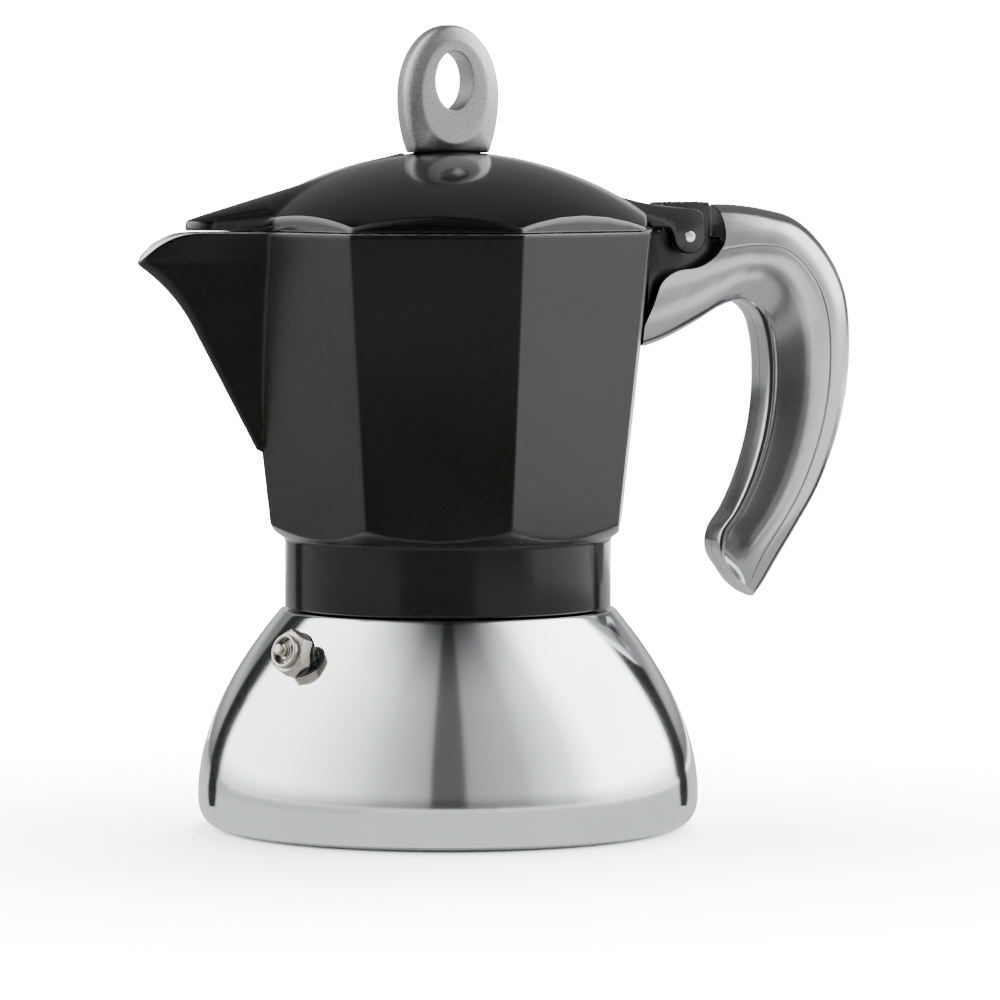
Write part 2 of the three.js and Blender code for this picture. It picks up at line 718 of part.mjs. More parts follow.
function knob() {
  const shape = new THREE.Shape();
  const half = knobHalfWidth - knobBevel;
  const base = knobBaseHalf - knobBevel;
  const middle = knobTop - 0.44 * knobHeight;
  shape.moveTo(-base, knobBottom);
  shape.lineTo(base, knobBottom);
  shape.quadraticCurveTo(half, knobBottom + 0.25 * knobHeight, half, middle);
  shape.bezierCurveTo(half, knobTop - 5, 0.62 * half, knobTop - knobBevel, 0, knobTop - knobBevel);
  shape.bezierCurveTo(-0.62 * half, knobTop - knobBevel, -half, knobTop - 5, -half, middle);
  shape.quadraticCurveTo(-half, knobBottom + 0.25 * knobHeight, -base, knobBottom);
  const hole = new THREE.Path();
  hole.absellipse(0, knobTop - knobHoleDrop, knobHoleHalfWidth + knobBevel,
    knobHoleHalfHeight + knobBevel, 0, 2 * Math.PI, true);
  shape.holes.push(hole);
  const options = {
    depth: knobThickness - 2 * knobBevel, curveSegments: 10,
    bevelThickness: knobBevel, bevelSize: knobBevel, bevelSegments: 2,
  };
  const geometry = new THREE.ExtrudeGeometry(shape, options);
  geometry.rotateX(Math.PI / 2).translate(0, knobThickness / 2 - knobBevel, 0);
  const inside = domed(lidRadius, -clearance, lidBottom);
  const shank = knobBottom + knobScrewLength + 2 * clearance;
  return solid(geometry).subtract(inside)
    .subtract(rod(knobScrewRadius + clearance, lidBottom, shank));
}

function knobScrew() {
  const under = lidApex - lidThickness - clearance;
  return rod(knobScrewHead, under - knobScrewHeadHeight, under)
    .add(rod(knobScrewRadius, under - overshoot, knobBottom + knobScrewLength));
}

// ------------------------------------------------------------------------------- handle

const handleEdge = (first) => new THREE.CatmullRomCurve3(handleStations.map(
  (row) => new THREE.Vector3(pinX + row[first], row[4], pinZ + row[first + 1])));
const innerEdge = handleEdge(0);
const outerEdge = handleEdge(2);

// Half a section of the handle on one side of the seam, drawn in by an inset.
function handleRing(share, side, inset, seam) {
  const inner = innerEdge.getPoint(share);
  const outer = outerEdge.getPoint(share);
  const width = inner.y;
  const depth = Math.hypot(outer.x - inner.x, outer.z - inner.z);
  const at = (part, across) => new THREE.Vector3(
    THREE.MathUtils.lerp(inner.x, outer.x, part),
    side * across,
    THREE.MathUtils.lerp(inner.z, outer.z, part),
  );
  const low = inset / depth;
  const flank = handleSection.map(([part, half]) =>
    at(low + part * (1 - 2 * low), Math.max(half * width - inset, 1)));
  return [at(low, seam), ...flank, at(1 - low, Math.max(0.6, seam)), at(1 - low, seam)];
}

function handleLoft(side, inset, seam, from, to) {
  const steps = Math.max(Math.round((to - from) * handleSteps), 2);
  const rings = [];
  for (let i = 0; i <= steps; i += 1) {
    rings.push(handleRing(THREE.MathUtils.lerp(from, to, i / steps), side, inset, seam));
  }
  return loft(rings);
}

// The room that the hinge and its lug need at the top of the handle.
function hingeRoom() {
  const points = handleNotch.map(([x, z]) => new THREE.Vector2(pinX + x, pinZ + z));
  const edge = new THREE.SplineCurve(points).getPoints(18);
  const shape = new THREE.Shape([
    new THREE.Vector2(pinX + handleNotch[0][0], pinZ + 30), ...edge,
    new THREE.Vector2(pinX - 30, pinZ - 30), new THREE.Vector2(pinX - 30, pinZ + 30),
  ]);
  const wide = 2 * handleSection[3][1];
  return plate(shape, -wide, wide);
}

function tongueRoom() {
  const gap = clearance;
  const shape = outline([
    [0, pinZ + lugFoot - 2 * gap], [rimRadius - wallThickness, pinZ + lugFoot - 2 * gap],
    [pinX - 3, pinZ + lugFoot + 3 - 2 * gap], [pinX + 6, pinZ + tongueBottom - 2 * gap],
    [pinX + tongueLength + gap, pinZ + tongueBottom - 2 * gap],
    [pinX + tongueLength + gap, pinZ + tongueTop + gap],
    [pinX + lugBack + gap, pinZ + tongueTop + gap],
    [pinX + lugBack + gap, pinZ + 2 * lugTop], [0, pinZ + 2 * lugTop],
  ]);
  return plate(shape, -lugHalfWidth - gap, lugHalfWidth + gap);
}

const headSeat = 6; // underside of each screw head, from the seam

function handleShell(side) {
  let shell = handleLoft(side, 0, seamGap, 0, 1);
  handleHollows.forEach(([from, to]) => {
    shell = shell.subtract(handleLoft(side, handleWall, -overshoot, from, to));
  });
  shell = shell.subtract(hingeRoom()).subtract(tongueRoom())
    .subtract(collectorOutside(2 * clearance));
  [upperScrewAt, lowerScrewAt].forEach(([x, z]) => {
    const hole = side > 0
      ? crossRod(pinX + x, pinZ + z, screwRadius + clearance, -overshoot, 20)
        .add(crossRod(pinX + x, pinZ + z, screwHeadRadius + clearance, headSeat, 20))
      : crossRod(pinX + x, pinZ + z, screwRadius + clearance,
        -screwThreadReach - clearance, overshoot);
    shell = shell.subtract(hole);
  });
  return shell;
}

function handleScrew([x, z]) {
  const low = headSeat + clearance;
  return crossRod(pinX + x, pinZ + z, screwRadius, -screwThreadReach, low + overshoot, 12)
    .add(crossRod(pinX + x, pinZ + z, screwHeadRadius, low, low + screwHeadHeight, 12));
}

// ----------------------------------------------------------------------------- assembly

const pot = new THREE.Group();

pot.add(
  named('boiler', boiler(), steel),
  named('funnel', funnel(), aluminium),
  named('funnel_plate', funnelPlate(), aluminium),
  named('gasket', gasket(), rubber),
  named('filter_plate', filterPlate(), aluminium),
  named('collector', collector(), blackPaint),
  named('lid', lid(), blackPaint),
  named('knob', knob(), greyPlastic),
  named('knob_screw', knobScrew(), steel),
  named('hinge_pin', crossRod(pinX, pinZ, pinRadius, -earOuter - clearance, earOuter + clearance),
    steel),
  named('handle_shell_near', handleShell(-1), greyPlastic),
  named('handle_shell_far', handleShell(1), greyPlastic),
  named('handle_screw_upper', handleScrew(upperScrewAt), steel),
  named('handle_screw_lower', handleScrew(lowerScrewAt), steel),
);

valveFrame.add(
  named('valve_body', valveBody(), brass),
  named('valve_washer', rod(valveWasherRadius, clearance, clearance + valveWasherHeight,
    valveShankRadius + clearance), rubber),
  named('valve_stem', valveStem(), brass),
  named('valve_spring', valveSpring(), steel),
  named('valve_seat', rod(seatRadius, valveBack, valveBack + seatHeight, seatHoleRadius), brass),
);
pot.add(valveFrame);

export default pot;
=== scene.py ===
"""Looks of the moka pot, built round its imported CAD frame."""

import json
import math

import bpy
import numpy as np
from mathutils import Matrix, Vector


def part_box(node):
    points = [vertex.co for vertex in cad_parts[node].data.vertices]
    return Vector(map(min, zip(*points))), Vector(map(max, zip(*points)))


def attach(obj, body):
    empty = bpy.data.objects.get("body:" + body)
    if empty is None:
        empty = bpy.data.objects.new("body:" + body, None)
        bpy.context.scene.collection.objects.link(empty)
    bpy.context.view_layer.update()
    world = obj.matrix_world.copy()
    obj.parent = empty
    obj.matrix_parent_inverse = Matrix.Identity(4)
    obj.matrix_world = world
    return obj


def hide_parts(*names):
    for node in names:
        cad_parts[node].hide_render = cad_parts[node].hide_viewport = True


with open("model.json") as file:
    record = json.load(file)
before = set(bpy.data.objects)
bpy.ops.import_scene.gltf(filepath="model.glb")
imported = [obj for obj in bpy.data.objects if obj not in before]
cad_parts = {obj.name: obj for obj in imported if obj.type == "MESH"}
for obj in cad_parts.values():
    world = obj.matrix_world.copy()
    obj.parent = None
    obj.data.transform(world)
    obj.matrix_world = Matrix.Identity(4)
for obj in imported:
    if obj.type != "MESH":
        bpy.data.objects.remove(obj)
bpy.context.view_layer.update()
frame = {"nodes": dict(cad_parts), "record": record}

MM = 0.001
TURN = 2 * math.pi


# ---------- sizes from the frame


def box_mm(node):
    """Lowest and highest corner of a CAD node, in millimetres."""
    low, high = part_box(node)
    return [value / MM for value in low], [value / MM for value in high]


def joint(name):
    return next(j for j in frame["record"]["behaviour"]["joints"] if j["name"] == name)


boiler_high = box_mm("boiler")[1]
collector_low, collector_high = box_mm("collector")
gasket_high = box_mm("gasket")[1]
knob_high = box_mm("knob")[1]

BASE_RADIUS = boiler_high[1]  # boiler, widest
NECK_TOP = boiler_high[2]
RIM_RADIUS = collector_high[1]  # octagon corner at the rim
COLLAR_BOTTOM = collector_low[2]
SPOUT_TIP = -collector_low[0] - 0.03  # distance of the tip from the axis
PIN_X = joint("lid_hinge")["pos_m"][0] / MM
PIN_Z = joint("lid_hinge")["pos_m"][2] / MM
RIM_TOP = PIN_Z + 1.5
LID_BOTTOM = RIM_TOP + 0.3
LID_APEX = LID_BOTTOM + 15.4
KNOB_TOP = knob_high[2]

# Boiler
SHOULDER_Z = COLLAR_BOTTOM - 0.3
SHOULDER_RADIUS = 33.4
FOOT_FLAT_RADIUS = 44.0
FOOT_ROUND = 6.5
SIDE_CONTROL_Z = 24.0
SHEET = 1.4
NECK_RADIUS = 28.6
BOILER_FLOOR = 3.0
RECESS = 0.6  # hollow under the boiler, which leaves a ring to stand on
RING_WIDTH = 5.4
THREAD_PITCH = 2.5
THREAD_TURNS = 2.4
THREAD_DEPTH = 1.0
THREAD_SINK = 0.5  # how far a ridge reaches into its wall
THREAD_LOW = NECK_TOP - 1.6 - THREAD_TURNS * THREAD_PITCH

# Collector
COLLAR_RADIUS = SHOULDER_RADIUS - 0.8
COLLAR_TOP = COLLAR_BOTTOM + 13.7
FOOT_Z = COLLAR_TOP + 3.5
FOOT_RADIUS = 37.3
WALL = 2.3
EDGE_ROUND = 0.9  # fillet along the octagon's upright edges
INNER_ROUND = 3.0
CEILING = gasket_high[2] + 0.3
FLOOR_Z = CEILING + 2.4
SOCKET_RADIUS = gasket_high[1] + 0.6
COLUMN_FOOT = 6.5
COLUMN_TIP = 5.2
COLUMN_BORE = 3.4
COLUMN_TOP = RIM_TOP - 15
CORNERS = 8

# Spout
SPOUT_FOOT_Z = RIM_TOP - 45.5
SPOUT_KNEE = (RIM_RADIUS + 9, RIM_TOP - 18.8)  # (distance from the axis, height)
SPOUT_TIP_Z = RIM_TOP - 6.3
SPOUT_HALF = 9.8
SPOUT_NOSE = 2.7
SPOUT_WALL = 1.5

# Lid
LID_RADIUS = RIM_RADIUS - 0.8
DOME_RISE = 15.4 - 0.5
DOME_RADIUS = (LID_RADIUS**2 + DOME_RISE**2) / (2 * DOME_RISE)
LID_THICKNESS = 2.2
COVER_REACH = RIM_RADIUS + 10.5
COVER_HALF = 9.4
COVER_NOSE = 4.4
COVER_EDGE_Z = LID_BOTTOM + 0.9
ROOF_LOW = LID_BOTTOM + 0.4  # no part of the roof comes lower
COVER_START = 9.7  # where the cover's ridge leaves the dome, from the axis
COVER_SLOPE = 0.292
LID_LIP = 0.2  # bevel along the lid's lower edge
LID_LEAN = 0.1  # how much the lid's side leans in towards its lower edge

FLAT = math.cos(math.pi / 8)  # apothem of an octagon of unit corner radius


# ---------- mesh building


def placed(name, data):
    """A new object in the scene."""
    made = bpy.data.objects.new(name, data)
    bpy.context.collection.objects.link(made)
    return made


def make_piece(name, points, faces, body, nodes=(), slot=None, materials=(), smooth=40):
    """A mesh piece from points in millimetres, riding on a body."""
    mesh = bpy.data.meshes.new(name)
    mesh.from_pydata((np.asarray(points, float) * MM).tolist(), [], faces)
    mesh.validate()
    mesh.polygons.foreach_set("use_smooth", [True] * len(mesh.polygons))
    if smooth:
        mesh.set_sharp_from_angle(angle=math.radians(smooth))
    piece = placed(name, mesh)
    for material in materials:
        mesh.materials.append(material)
    if body:
        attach(piece, body)
    if nodes:
        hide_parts(*nodes)
    return piece


def signed_volume(points, faces):
    """Positive when the faces of a closed mesh point out."""
    p = np.asarray(points, float)
    corners = [(f[0], f[i], f[i + 1]) for f in faces for i in range(1, len(f) - 1)]
    a, b, c = (p[index] for index in np.array(corners).T)
    return float(np.einsum("ij,ij->i", a, np.cross(b, c)).sum())


def skin(rings, wrap=False):
    """Quads between equal rings of points; the ends are capped, or joined by wrap."""
    count = len(rings[0])
    points = [point for ring in rings for point in ring]
    faces = []
    pairs = len(rings) if wrap else len(rings) - 1
    for i in range(pairs):
        low, high = i * count, ((i + 1) % len(rings)) * count
        for j in range(count):
            k = (j + 1) % count
            faces.append((low + j, low + k, high + k, high + j))
    if not wrap:
        last = (len(rings) - 1) * count
        faces.append(tuple(range(count - 1, -1, -1)))
        faces.append(tuple(range(last, last + count)))
    if signed_volume(points, faces) < 0:
        faces = [face[::-1] for face in faces]
    return points, faces


def ring_points(angles, radius, height):
    """Points round Z; radius and height are one number each, or one for each angle."""
    height = np.broadcast_to(height, len(angles))
    return np.stack([radius * np.cos(angles), radius * np.sin(angles), height], axis=1)


def lathe(profile, segments=192):
    """Rings of a profile of (radius, height) about Z. A radius of 0 becomes a tiny ring."""
    angles = np.linspace(0, TURN, segments, endpoint=False)
    return [ring_points(angles, max(radius, 1e-3), height) for radius, height in profile]


def bezier(a, b, c, steps):
    """Points of a quadratic curve from a to c with control point b."""
    t = np.linspace(0, 1, steps + 1)[:, None]
    a, b, c = (np.asarray(p, float) for p in (a, b, c))
    return [tuple(p) for p in (1 - t) ** 2 * a + 2 * t * (1 - t) * b + t**2 * c]


def rounded(corners, steps=5):
    """A polyline of (x, y, fillet) with each corner rounded; the ends stay sharp."""
    points = []
    for i, (x, y, fillet) in enumerate(corners):
        if fillet == 0 or i in (0, len(corners) - 1):
            points.append((x, y))
            continue
        here = np.array((x, y), float)
        before = np.array(corners[i - 1][:2], float) - here
        after = np.array(corners[i + 1][:2], float) - here
        reach_before = min(fillet, np.linalg.norm(before) * 0.48)
        reach_after = min(fillet, np.linalg.norm(after) * 0.48)
        start = here + before / np.linalg.norm(before) * reach_before
        end = here + after / np.linalg.norm(after) * reach_after
        points += bezier(start, here, end, steps)
    return points


def rounded_loop(corners, steps=5):
    """A closed outline of (x, y, fillet) with its corners rounded."""
    points = rounded([corners[-1], *corners, corners[0]], steps)
    return points[1:-1]


def spline(points, steps):
    """Centripetal curve through points, with steps pieces in each span."""
    p = np.asarray(points, float)
    p = np.vstack([2 * p[0] - p[1], p, 2 * p[-1] - p[-2]])
    out = []
    for i in range(1, len(p) - 2):
        p0, p1, p2, p3 = p[i - 1 : i + 3]
        d0, d1, d2 = (max(np.linalg.norm(b - a), 1e-6) ** 0.5
                      for a, b in ((p0, p1), (p1, p2), (p2, p3)))
        m1 = ((p1 - p0) / d0 - (p2 - p0) / (d0 + d1) + (p2 - p1) / d1) * d1
        m2 = ((p2 - p1) / d1 - (p3 - p1) / (d1 + d2) + (p3 - p2) / d2) * d1
        for t in np.linspace(0, 1, steps, endpoint=False):
            out.append((2 * t**3 - 3 * t**2 + 1) * p1 + (t**3 - 2 * t**2 + t) * m1
                       + (3 * t**2 - 2 * t**3) * p2 + (t**3 - t**2) * m2)
    out.append(p[-2])
    return np.array(out)


def soft_max(a, b, round_off):
    """The larger of two surfaces, with a small fillet where they cross."""
    near = np.maximum(round_off - np.abs(a - b), 0)
    return np.maximum(a, b) + near**2 / (4 * round_off)


def plate(outline, low, high, bevel=0.4, steps=3):
    """An outline in the XZ plane with thickness along Y and rounded long edges."""
    loop = np.array(outline, float)
    area = np.sum(loop[:, 0] * np.roll(loop[:, 1], -1) - np.roll(loop[:, 0], -1) * loop[:, 1])
    if area < 0:
        loop = loop[::-1]
    ahead = np.roll(loop, -1, axis=0) - loop
    ahead /= np.maximum(np.linalg.norm(ahead, axis=1, keepdims=True), 1e-9)
    behind = np.roll(ahead, 1, axis=0)
    tangent = ahead + behind
    tangent /= np.maximum(np.linalg.norm(tangent, axis=1, keepdims=True), 1e-9)
    inward = np.stack([-tangent[:, 1], tangent[:, 0]], axis=1)
    rings = []
    for i in range(steps + 1):
        angle = math.pi / 2 * i / steps
        pull = bevel * (1 - math.sin(angle))
        rings.append((low + bevel * (1 - math.cos(angle)), pull))
    rings += [(low + high - y, pull) for y, pull in reversed(rings)]
    made = []
    for y, pull in rings:
        flat = loop + inward * pull
        made.append(np.stack([flat[:, 0], np.full(len(flat), y), flat[:, 1]], axis=1))
    return skin(made)


def moved(points, matrix):
    """Points in millimetres through a 4x4 matrix whose translation is in millimetres."""
    p = np.asarray(points, float)
    m = np.array(matrix)
    return p @ m[:3, :3].T + m[:3, 3]


def joined(*parts):
    """Several (points, faces) as one."""
    points, faces = [], []
    for part_points, part_faces in parts:
        shift = len(points)
        points += [tuple(p) for p in part_points]
        faces += [tuple(i + shift for i in face) for face in part_faces]
    return points, faces


def cut(piece, *cutters, index=0):
    """Takes closed (points, faces) solids away; the new faces get a material index."""
    for points, faces in cutters:
        tool = make_piece(piece.name + ".tool", points, faces, None, smooth=0,
                          materials=piece.data.materials)
        tool.data.polygons.foreach_set("material_index", [index] * len(faces))
        modifier = piece.modifiers.new("cut", "BOOLEAN")
        modifier.operation = "DIFFERENCE"
        modifier.solver = "MANIFOLD"
        modifier.object = tool
        graph = bpy.context.evaluated_depsgraph_get()
        mesh = bpy.data.meshes.new_from_object(piece.evaluated_get(graph))
        piece.modifiers.clear()
        old = piece.data
        piece.data = mesh
        bpy.data.meshes.remove(old)
        bpy.data.objects.remove(tool)
    piece.data.polygons.foreach_set("use_smooth", [True] * len(piece.data.polygons))
    piece.data.set_sharp_from_angle(angle=math.radians(32))


# ---------- materials


NOISE_SPAN = (0.3, 0.7)  # where most of a noise texture's values lie


class Nodes:
    """A small helper that adds nodes to a shader tree and joins them."""

    def __init__(self, tree):
        self.tree = tree

    def add(self, kind, **settings):
        node = self.tree.nodes.new(kind)
        for key, value in settings.items():
            setattr(node, key, value)
        return node

    def link(self, a, b):
        self.tree.links.new(a, b)

    def fill(self, node, **values):
        """Sets inputs by their names, with _ for a space."""
        for key, value in values.items():
            node.inputs[key.replace("_", " ")].default_value = value

    def ramp(self, value, low, high, span=NOISE_SPAN, kind="LINEAR"):
        node = self.add("ShaderNodeMapRange", interpolation_type=kind)
        self.fill(node, From_Min=span[0], From_Max=span[1], To_Min=low, To_Max=high)
        self.link(value, node.inputs["Value"])
        return node.outputs["Result"]

    def mixed(self, share, first, second):
        """The first shader where the share is 0, the second where it is 1."""
        node = self.add("ShaderNodeMixShader")
        for source, socket in zip((share, first, second), node.inputs):
            self.link(source, socket)
        return node.outputs["Shader"]

    def camera_ray(self):
        return self.add("ShaderNodeLightPath").outputs["Is Camera Ray"]


class Paint(Nodes):
    """The nodes of a new material round its standard shader."""

    def __init__(self, name):
        self.material = bpy.data.materials.new(name)
        self.material.use_nodes = True
        super().__init__(self.material.node_tree)
        self.shader = self.tree.nodes["Principled BSDF"]
        self.place = self.add("ShaderNodeTexCoord").outputs["Object"]

    def set(self, **values):
        self.fill(self.shader, **values)

    def stretched(self, scale):
        mapping = self.add("ShaderNodeMapping")
        mapping.inputs["Scale"].default_value = scale
        self.link(self.place, mapping.inputs["Vector"])
        return mapping.outputs["Vector"]

    def noise(self, scale, detail, where=None):
        node = self.add("ShaderNodeTexNoise")
        self.fill(node, Scale=scale, Detail=detail)
        self.link(where or self.place, node.inputs["Vector"])
        return node.outputs["Fac"]

    def colour(self, value, low, high):
        node = self.add("ShaderNodeValToRGB")
        for stop, share, tone in zip(node.color_ramp.elements, NOISE_SPAN, (low, high)):
            stop.position = share
            stop.color = (*tone, 1)
        self.link(value, node.inputs["Fac"])
        self.link(node.outputs["Color"], self.shader.inputs["Base Color"])

    def roughness(self, value, low, high):
        self.link(self.ramp(value, low, high), self.shader.inputs["Roughness"])

    def bump(self, height, strength, distance):
        node = self.add("ShaderNodeBump")
        self.fill(node, Strength=strength, Distance=distance)
        self.link(height, node.inputs["Height"])
        self.link(node.outputs["Normal"], self.shader.inputs["Normal"])


def polished_steel():
    """Mirror steel with fine turning lines and faint smears."""
    n = Paint("polished_steel")
    n.set(Metallic=1.0)
    smears = n.noise(45, 5)
    lines = n.noise(60, 6, n.stretched((1, 1, 90)))
    n.colour(smears, (0.80, 0.81, 0.82), (0.86, 0.87, 0.88))
    n.roughness(smears, 0.075, 0.115)
    n.bump(lines, 0.04, 0.00005)
    return n.material


def black_paint(name, roughness, coat, shine=0.5, tone=0.0016):
    """Baked black paint: very fine orange peel and faint dust in the roughness."""
    n = Paint(name)
    n.set(IOR=1.45, Specular_IOR_Level=shine)
    n.set(Coat_Weight=coat, Coat_Roughness=0.08, Coat_IOR=1.45)
    cloud = n.noise(35, 4)
    n.colour(cloud, (tone * 0.75,) * 3, (tone * 1.25,) * 3)
    n.roughness(cloud, roughness * 0.85, roughness * 1.15)
    n.bump(n.noise(1600, 2), 0.03, 0.00002)
    return n.material


def bare_aluminium(name="bare_aluminium", tone=0.62):
    """Turned and cast aluminium: satin, with a fine grain."""
    n = Paint(name)
    n.set(Metallic=1.0)
    grain = n.noise(700, 5)
    cloud = n.noise(60, 4)
    n.colour(cloud, (tone * 0.88,) * 3, (tone, tone, tone * 1.01))
    n.roughness(grain, 0.3, 0.48)
    n.bump(grain, 0.25, 0.0001)
    return n.material


def silver_plastic(name, tone, roughness, speckle, bump):
    """Silver-grey moulded plastic with metal flake."""
    n = Paint(name)
    n.set(Metallic=1.0)
    flakes = n.noise(2600, 2)
    cloud = n.noise(25, 3)
    low, high = tone * (1 - speckle), tone * (1 + speckle)
    n.colour(flakes, (low, low, low * 1.01), (high, high, high * 1.01))
    n.roughness(cloud, roughness * 0.9, roughness * 1.1)
    n.bump(flakes, bump, 0.00005)
    return n.material


def nickel(name, tone, roughness):
    """Nickel over brass, slightly dulled, with a turned grain."""
    n = Paint(name)
    n.set(Metallic=1.0)
    cloud = n.noise(400, 4)
    n.colour(cloud, tuple(c * 0.8 for c in tone), tone)
    n.roughness(cloud, roughness * 0.8, roughness * 1.2)
    n.bump(n.noise(1500, 3), 0.1, 0.00005)
    return n.material


def seal_rubber():
    """Off-white silicone with a dusty surface."""
    n = Paint("silicone_seal")
    cloud = n.noise(300, 4)
    n.colour(cloud, (0.6, 0.58, 0.52), (0.7, 0.68, 0.62))
    n.roughness(cloud, 0.55, 0.7)
    n.bump(cloud, 0.1, 0.0001)
    return n.material


STEEL = polished_steel()
BODY_BLACK = black_paint("black_paint_body", 0.26, 0.0)
# The collar's copy of the body paint has a lighter base tone that brightens the collar: painted
# light.
COLLAR_BLACK_PAINTED_LIGHT = black_paint("black_paint_collar_painted_light", 0.15, 0.0, 0.3, 0.006)
LID_BLACK = black_paint("black_paint_gloss", 0.13, 0.4)
CAST_BLACK = black_paint("black_paint_cast", 0.28, 0.2)
ALUMINIUM = bare_aluminium()
RIM_METAL = bare_aluminium("bare_rim", 0.8)
HANDLE_GREY = silver_plastic("handle_plastic", 0.39, 0.2, 0.05, 0.0)
KNOB_GREY = silver_plastic("knob_plastic", 0.34, 0.38, 0.22, 0.35)
NICKEL = nickel("nickelled_brass", (0.47, 0.435, 0.395), 0.28)
PIN_STEEL = nickel("fastener_steel", (0.78, 0.78, 0.79), 0.22)
RUBBER = seal_rubber()


# ---------- boiler


def thread(base, crest, low, steps=96):
    """A right-handed ridge that winds round Z."""
    root, tip = 0.6, 0.3  # half widths of the ridge
    rings = []
    for i in range(int(THREAD_TURNS * steps) + 1):
        a = TURN * i / steps
        z = low + THREAD_PITCH * i / steps
        corners = ((base, -root), (crest, -tip), (crest, tip), (base, root))
        rings.append([(r * math.cos(a), r * math.sin(a), z + h) for r, h in corners])
    return skin(rings)


def build_boiler():
    foot = bezier((FOOT_FLAT_RADIUS, 0), (BASE_RADIUS, 0), (BASE_RADIUS, FOOT_ROUND), 14)
    side = bezier((BASE_RADIUS, FOOT_ROUND), (BASE_RADIUS, SIDE_CONTROL_Z),
                  (SHOULDER_RADIUS, SHOULDER_Z), 48)
    inside = bezier((BASE_RADIUS - SHEET, FOOT_ROUND), (BASE_RADIUS - SHEET, SIDE_CONTROL_Z),
                    (SHOULDER_RADIUS - SHEET, SHOULDER_Z - SHEET), 16)
    ring = FOOT_FLAT_RADIUS - RING_WIDTH
    recess = [(0, RECESS), (ring - RECESS, RECESS), (ring, 0.0)]
    shoulder = rounded([(*side[-2], 0), (SHOULDER_RADIUS, SHOULDER_Z, 0.6),
                        (NECK_RADIUS, SHOULDER_Z, 0.5), (NECK_RADIUS, NECK_TOP, 0.4),
                        (NECK_RADIUS - SHEET, NECK_TOP, 0.4),
                        (NECK_RADIUS - SHEET, SHOULDER_Z - SHEET, 0.5),
                        (*inside[-1], 0)])
    profile = [*recess, *foot[:-1], *side[:-2], *shoulder, *inside[::-1][1:],
               (FOOT_FLAT_RADIUS - SHEET, BOILER_FLOOR), (0, BOILER_FLOOR)]
    ridge = thread(NECK_RADIUS - THREAD_SINK, NECK_RADIUS + THREAD_DEPTH, THREAD_LOW)
    points, faces = joined(skin(lathe(profile, 256)), ridge)
    make_piece("boiler_shell", points, faces, "boiler", ["boiler"], "polished_steel", [STEEL])


# ---------- safety valve


def valve_matrix():
    """Millimetre frame of the valve: origin at the washer, +Z outward."""
    low, high = box_mm("valve_washer")
    axis = Vector(joint("valve_slide")["axis"]).normalized()
    turn = Vector((0, 0, 1)).rotation_difference(axis).to_matrix().to_4x4()
    centre = (Vector(low) + Vector(high)) / 2
    return Matrix.Translation(centre) @ turn


def hexagon(across_corners, low, high, segments=120):
    """Rings of a hexagonal prism whose corners are turned off at both ends."""
    angles = np.linspace(0, TURN, segments, endpoint=False)
    flat = across_corners / 2 * math.cos(math.pi / 6)
    wide = flat / np.cos((angles + math.pi / 6) % (math.pi / 3) - math.pi / 6)
    rings = []
    for z in np.linspace(low, high, 25):
        room = min(z - low, high - z)
        rings.append(ring_points(angles, np.minimum(wide, flat - 0.15 + room * 1.7), z))
    return rings


# Along the valve's axis, from the middle of the washer
NUT_LOW, NUT_HIGH = -0.5, 2.6
VALVE_FRONT = NUT_HIGH + 1.1
SHANK_END = -6.1
WASHER_LOW, WASHER_HIGH = -0.8, -0.1
PLUG_LOW, PLUG_HIGH = -4.0, -3.4
WELL_FLOOR = VALVE_FRONT - 1.25
# Across it
NUT_ACROSS = 9.4
SHANK_RADIUS = 2.9
RING_RADIUS, RING_BORE = 3.35, 2.5
WASHER_RADIUS, WASHER_BORE = 4.5, 3.2
PLUG_RADIUS, STEM_RADIUS = 1.15, 0.85


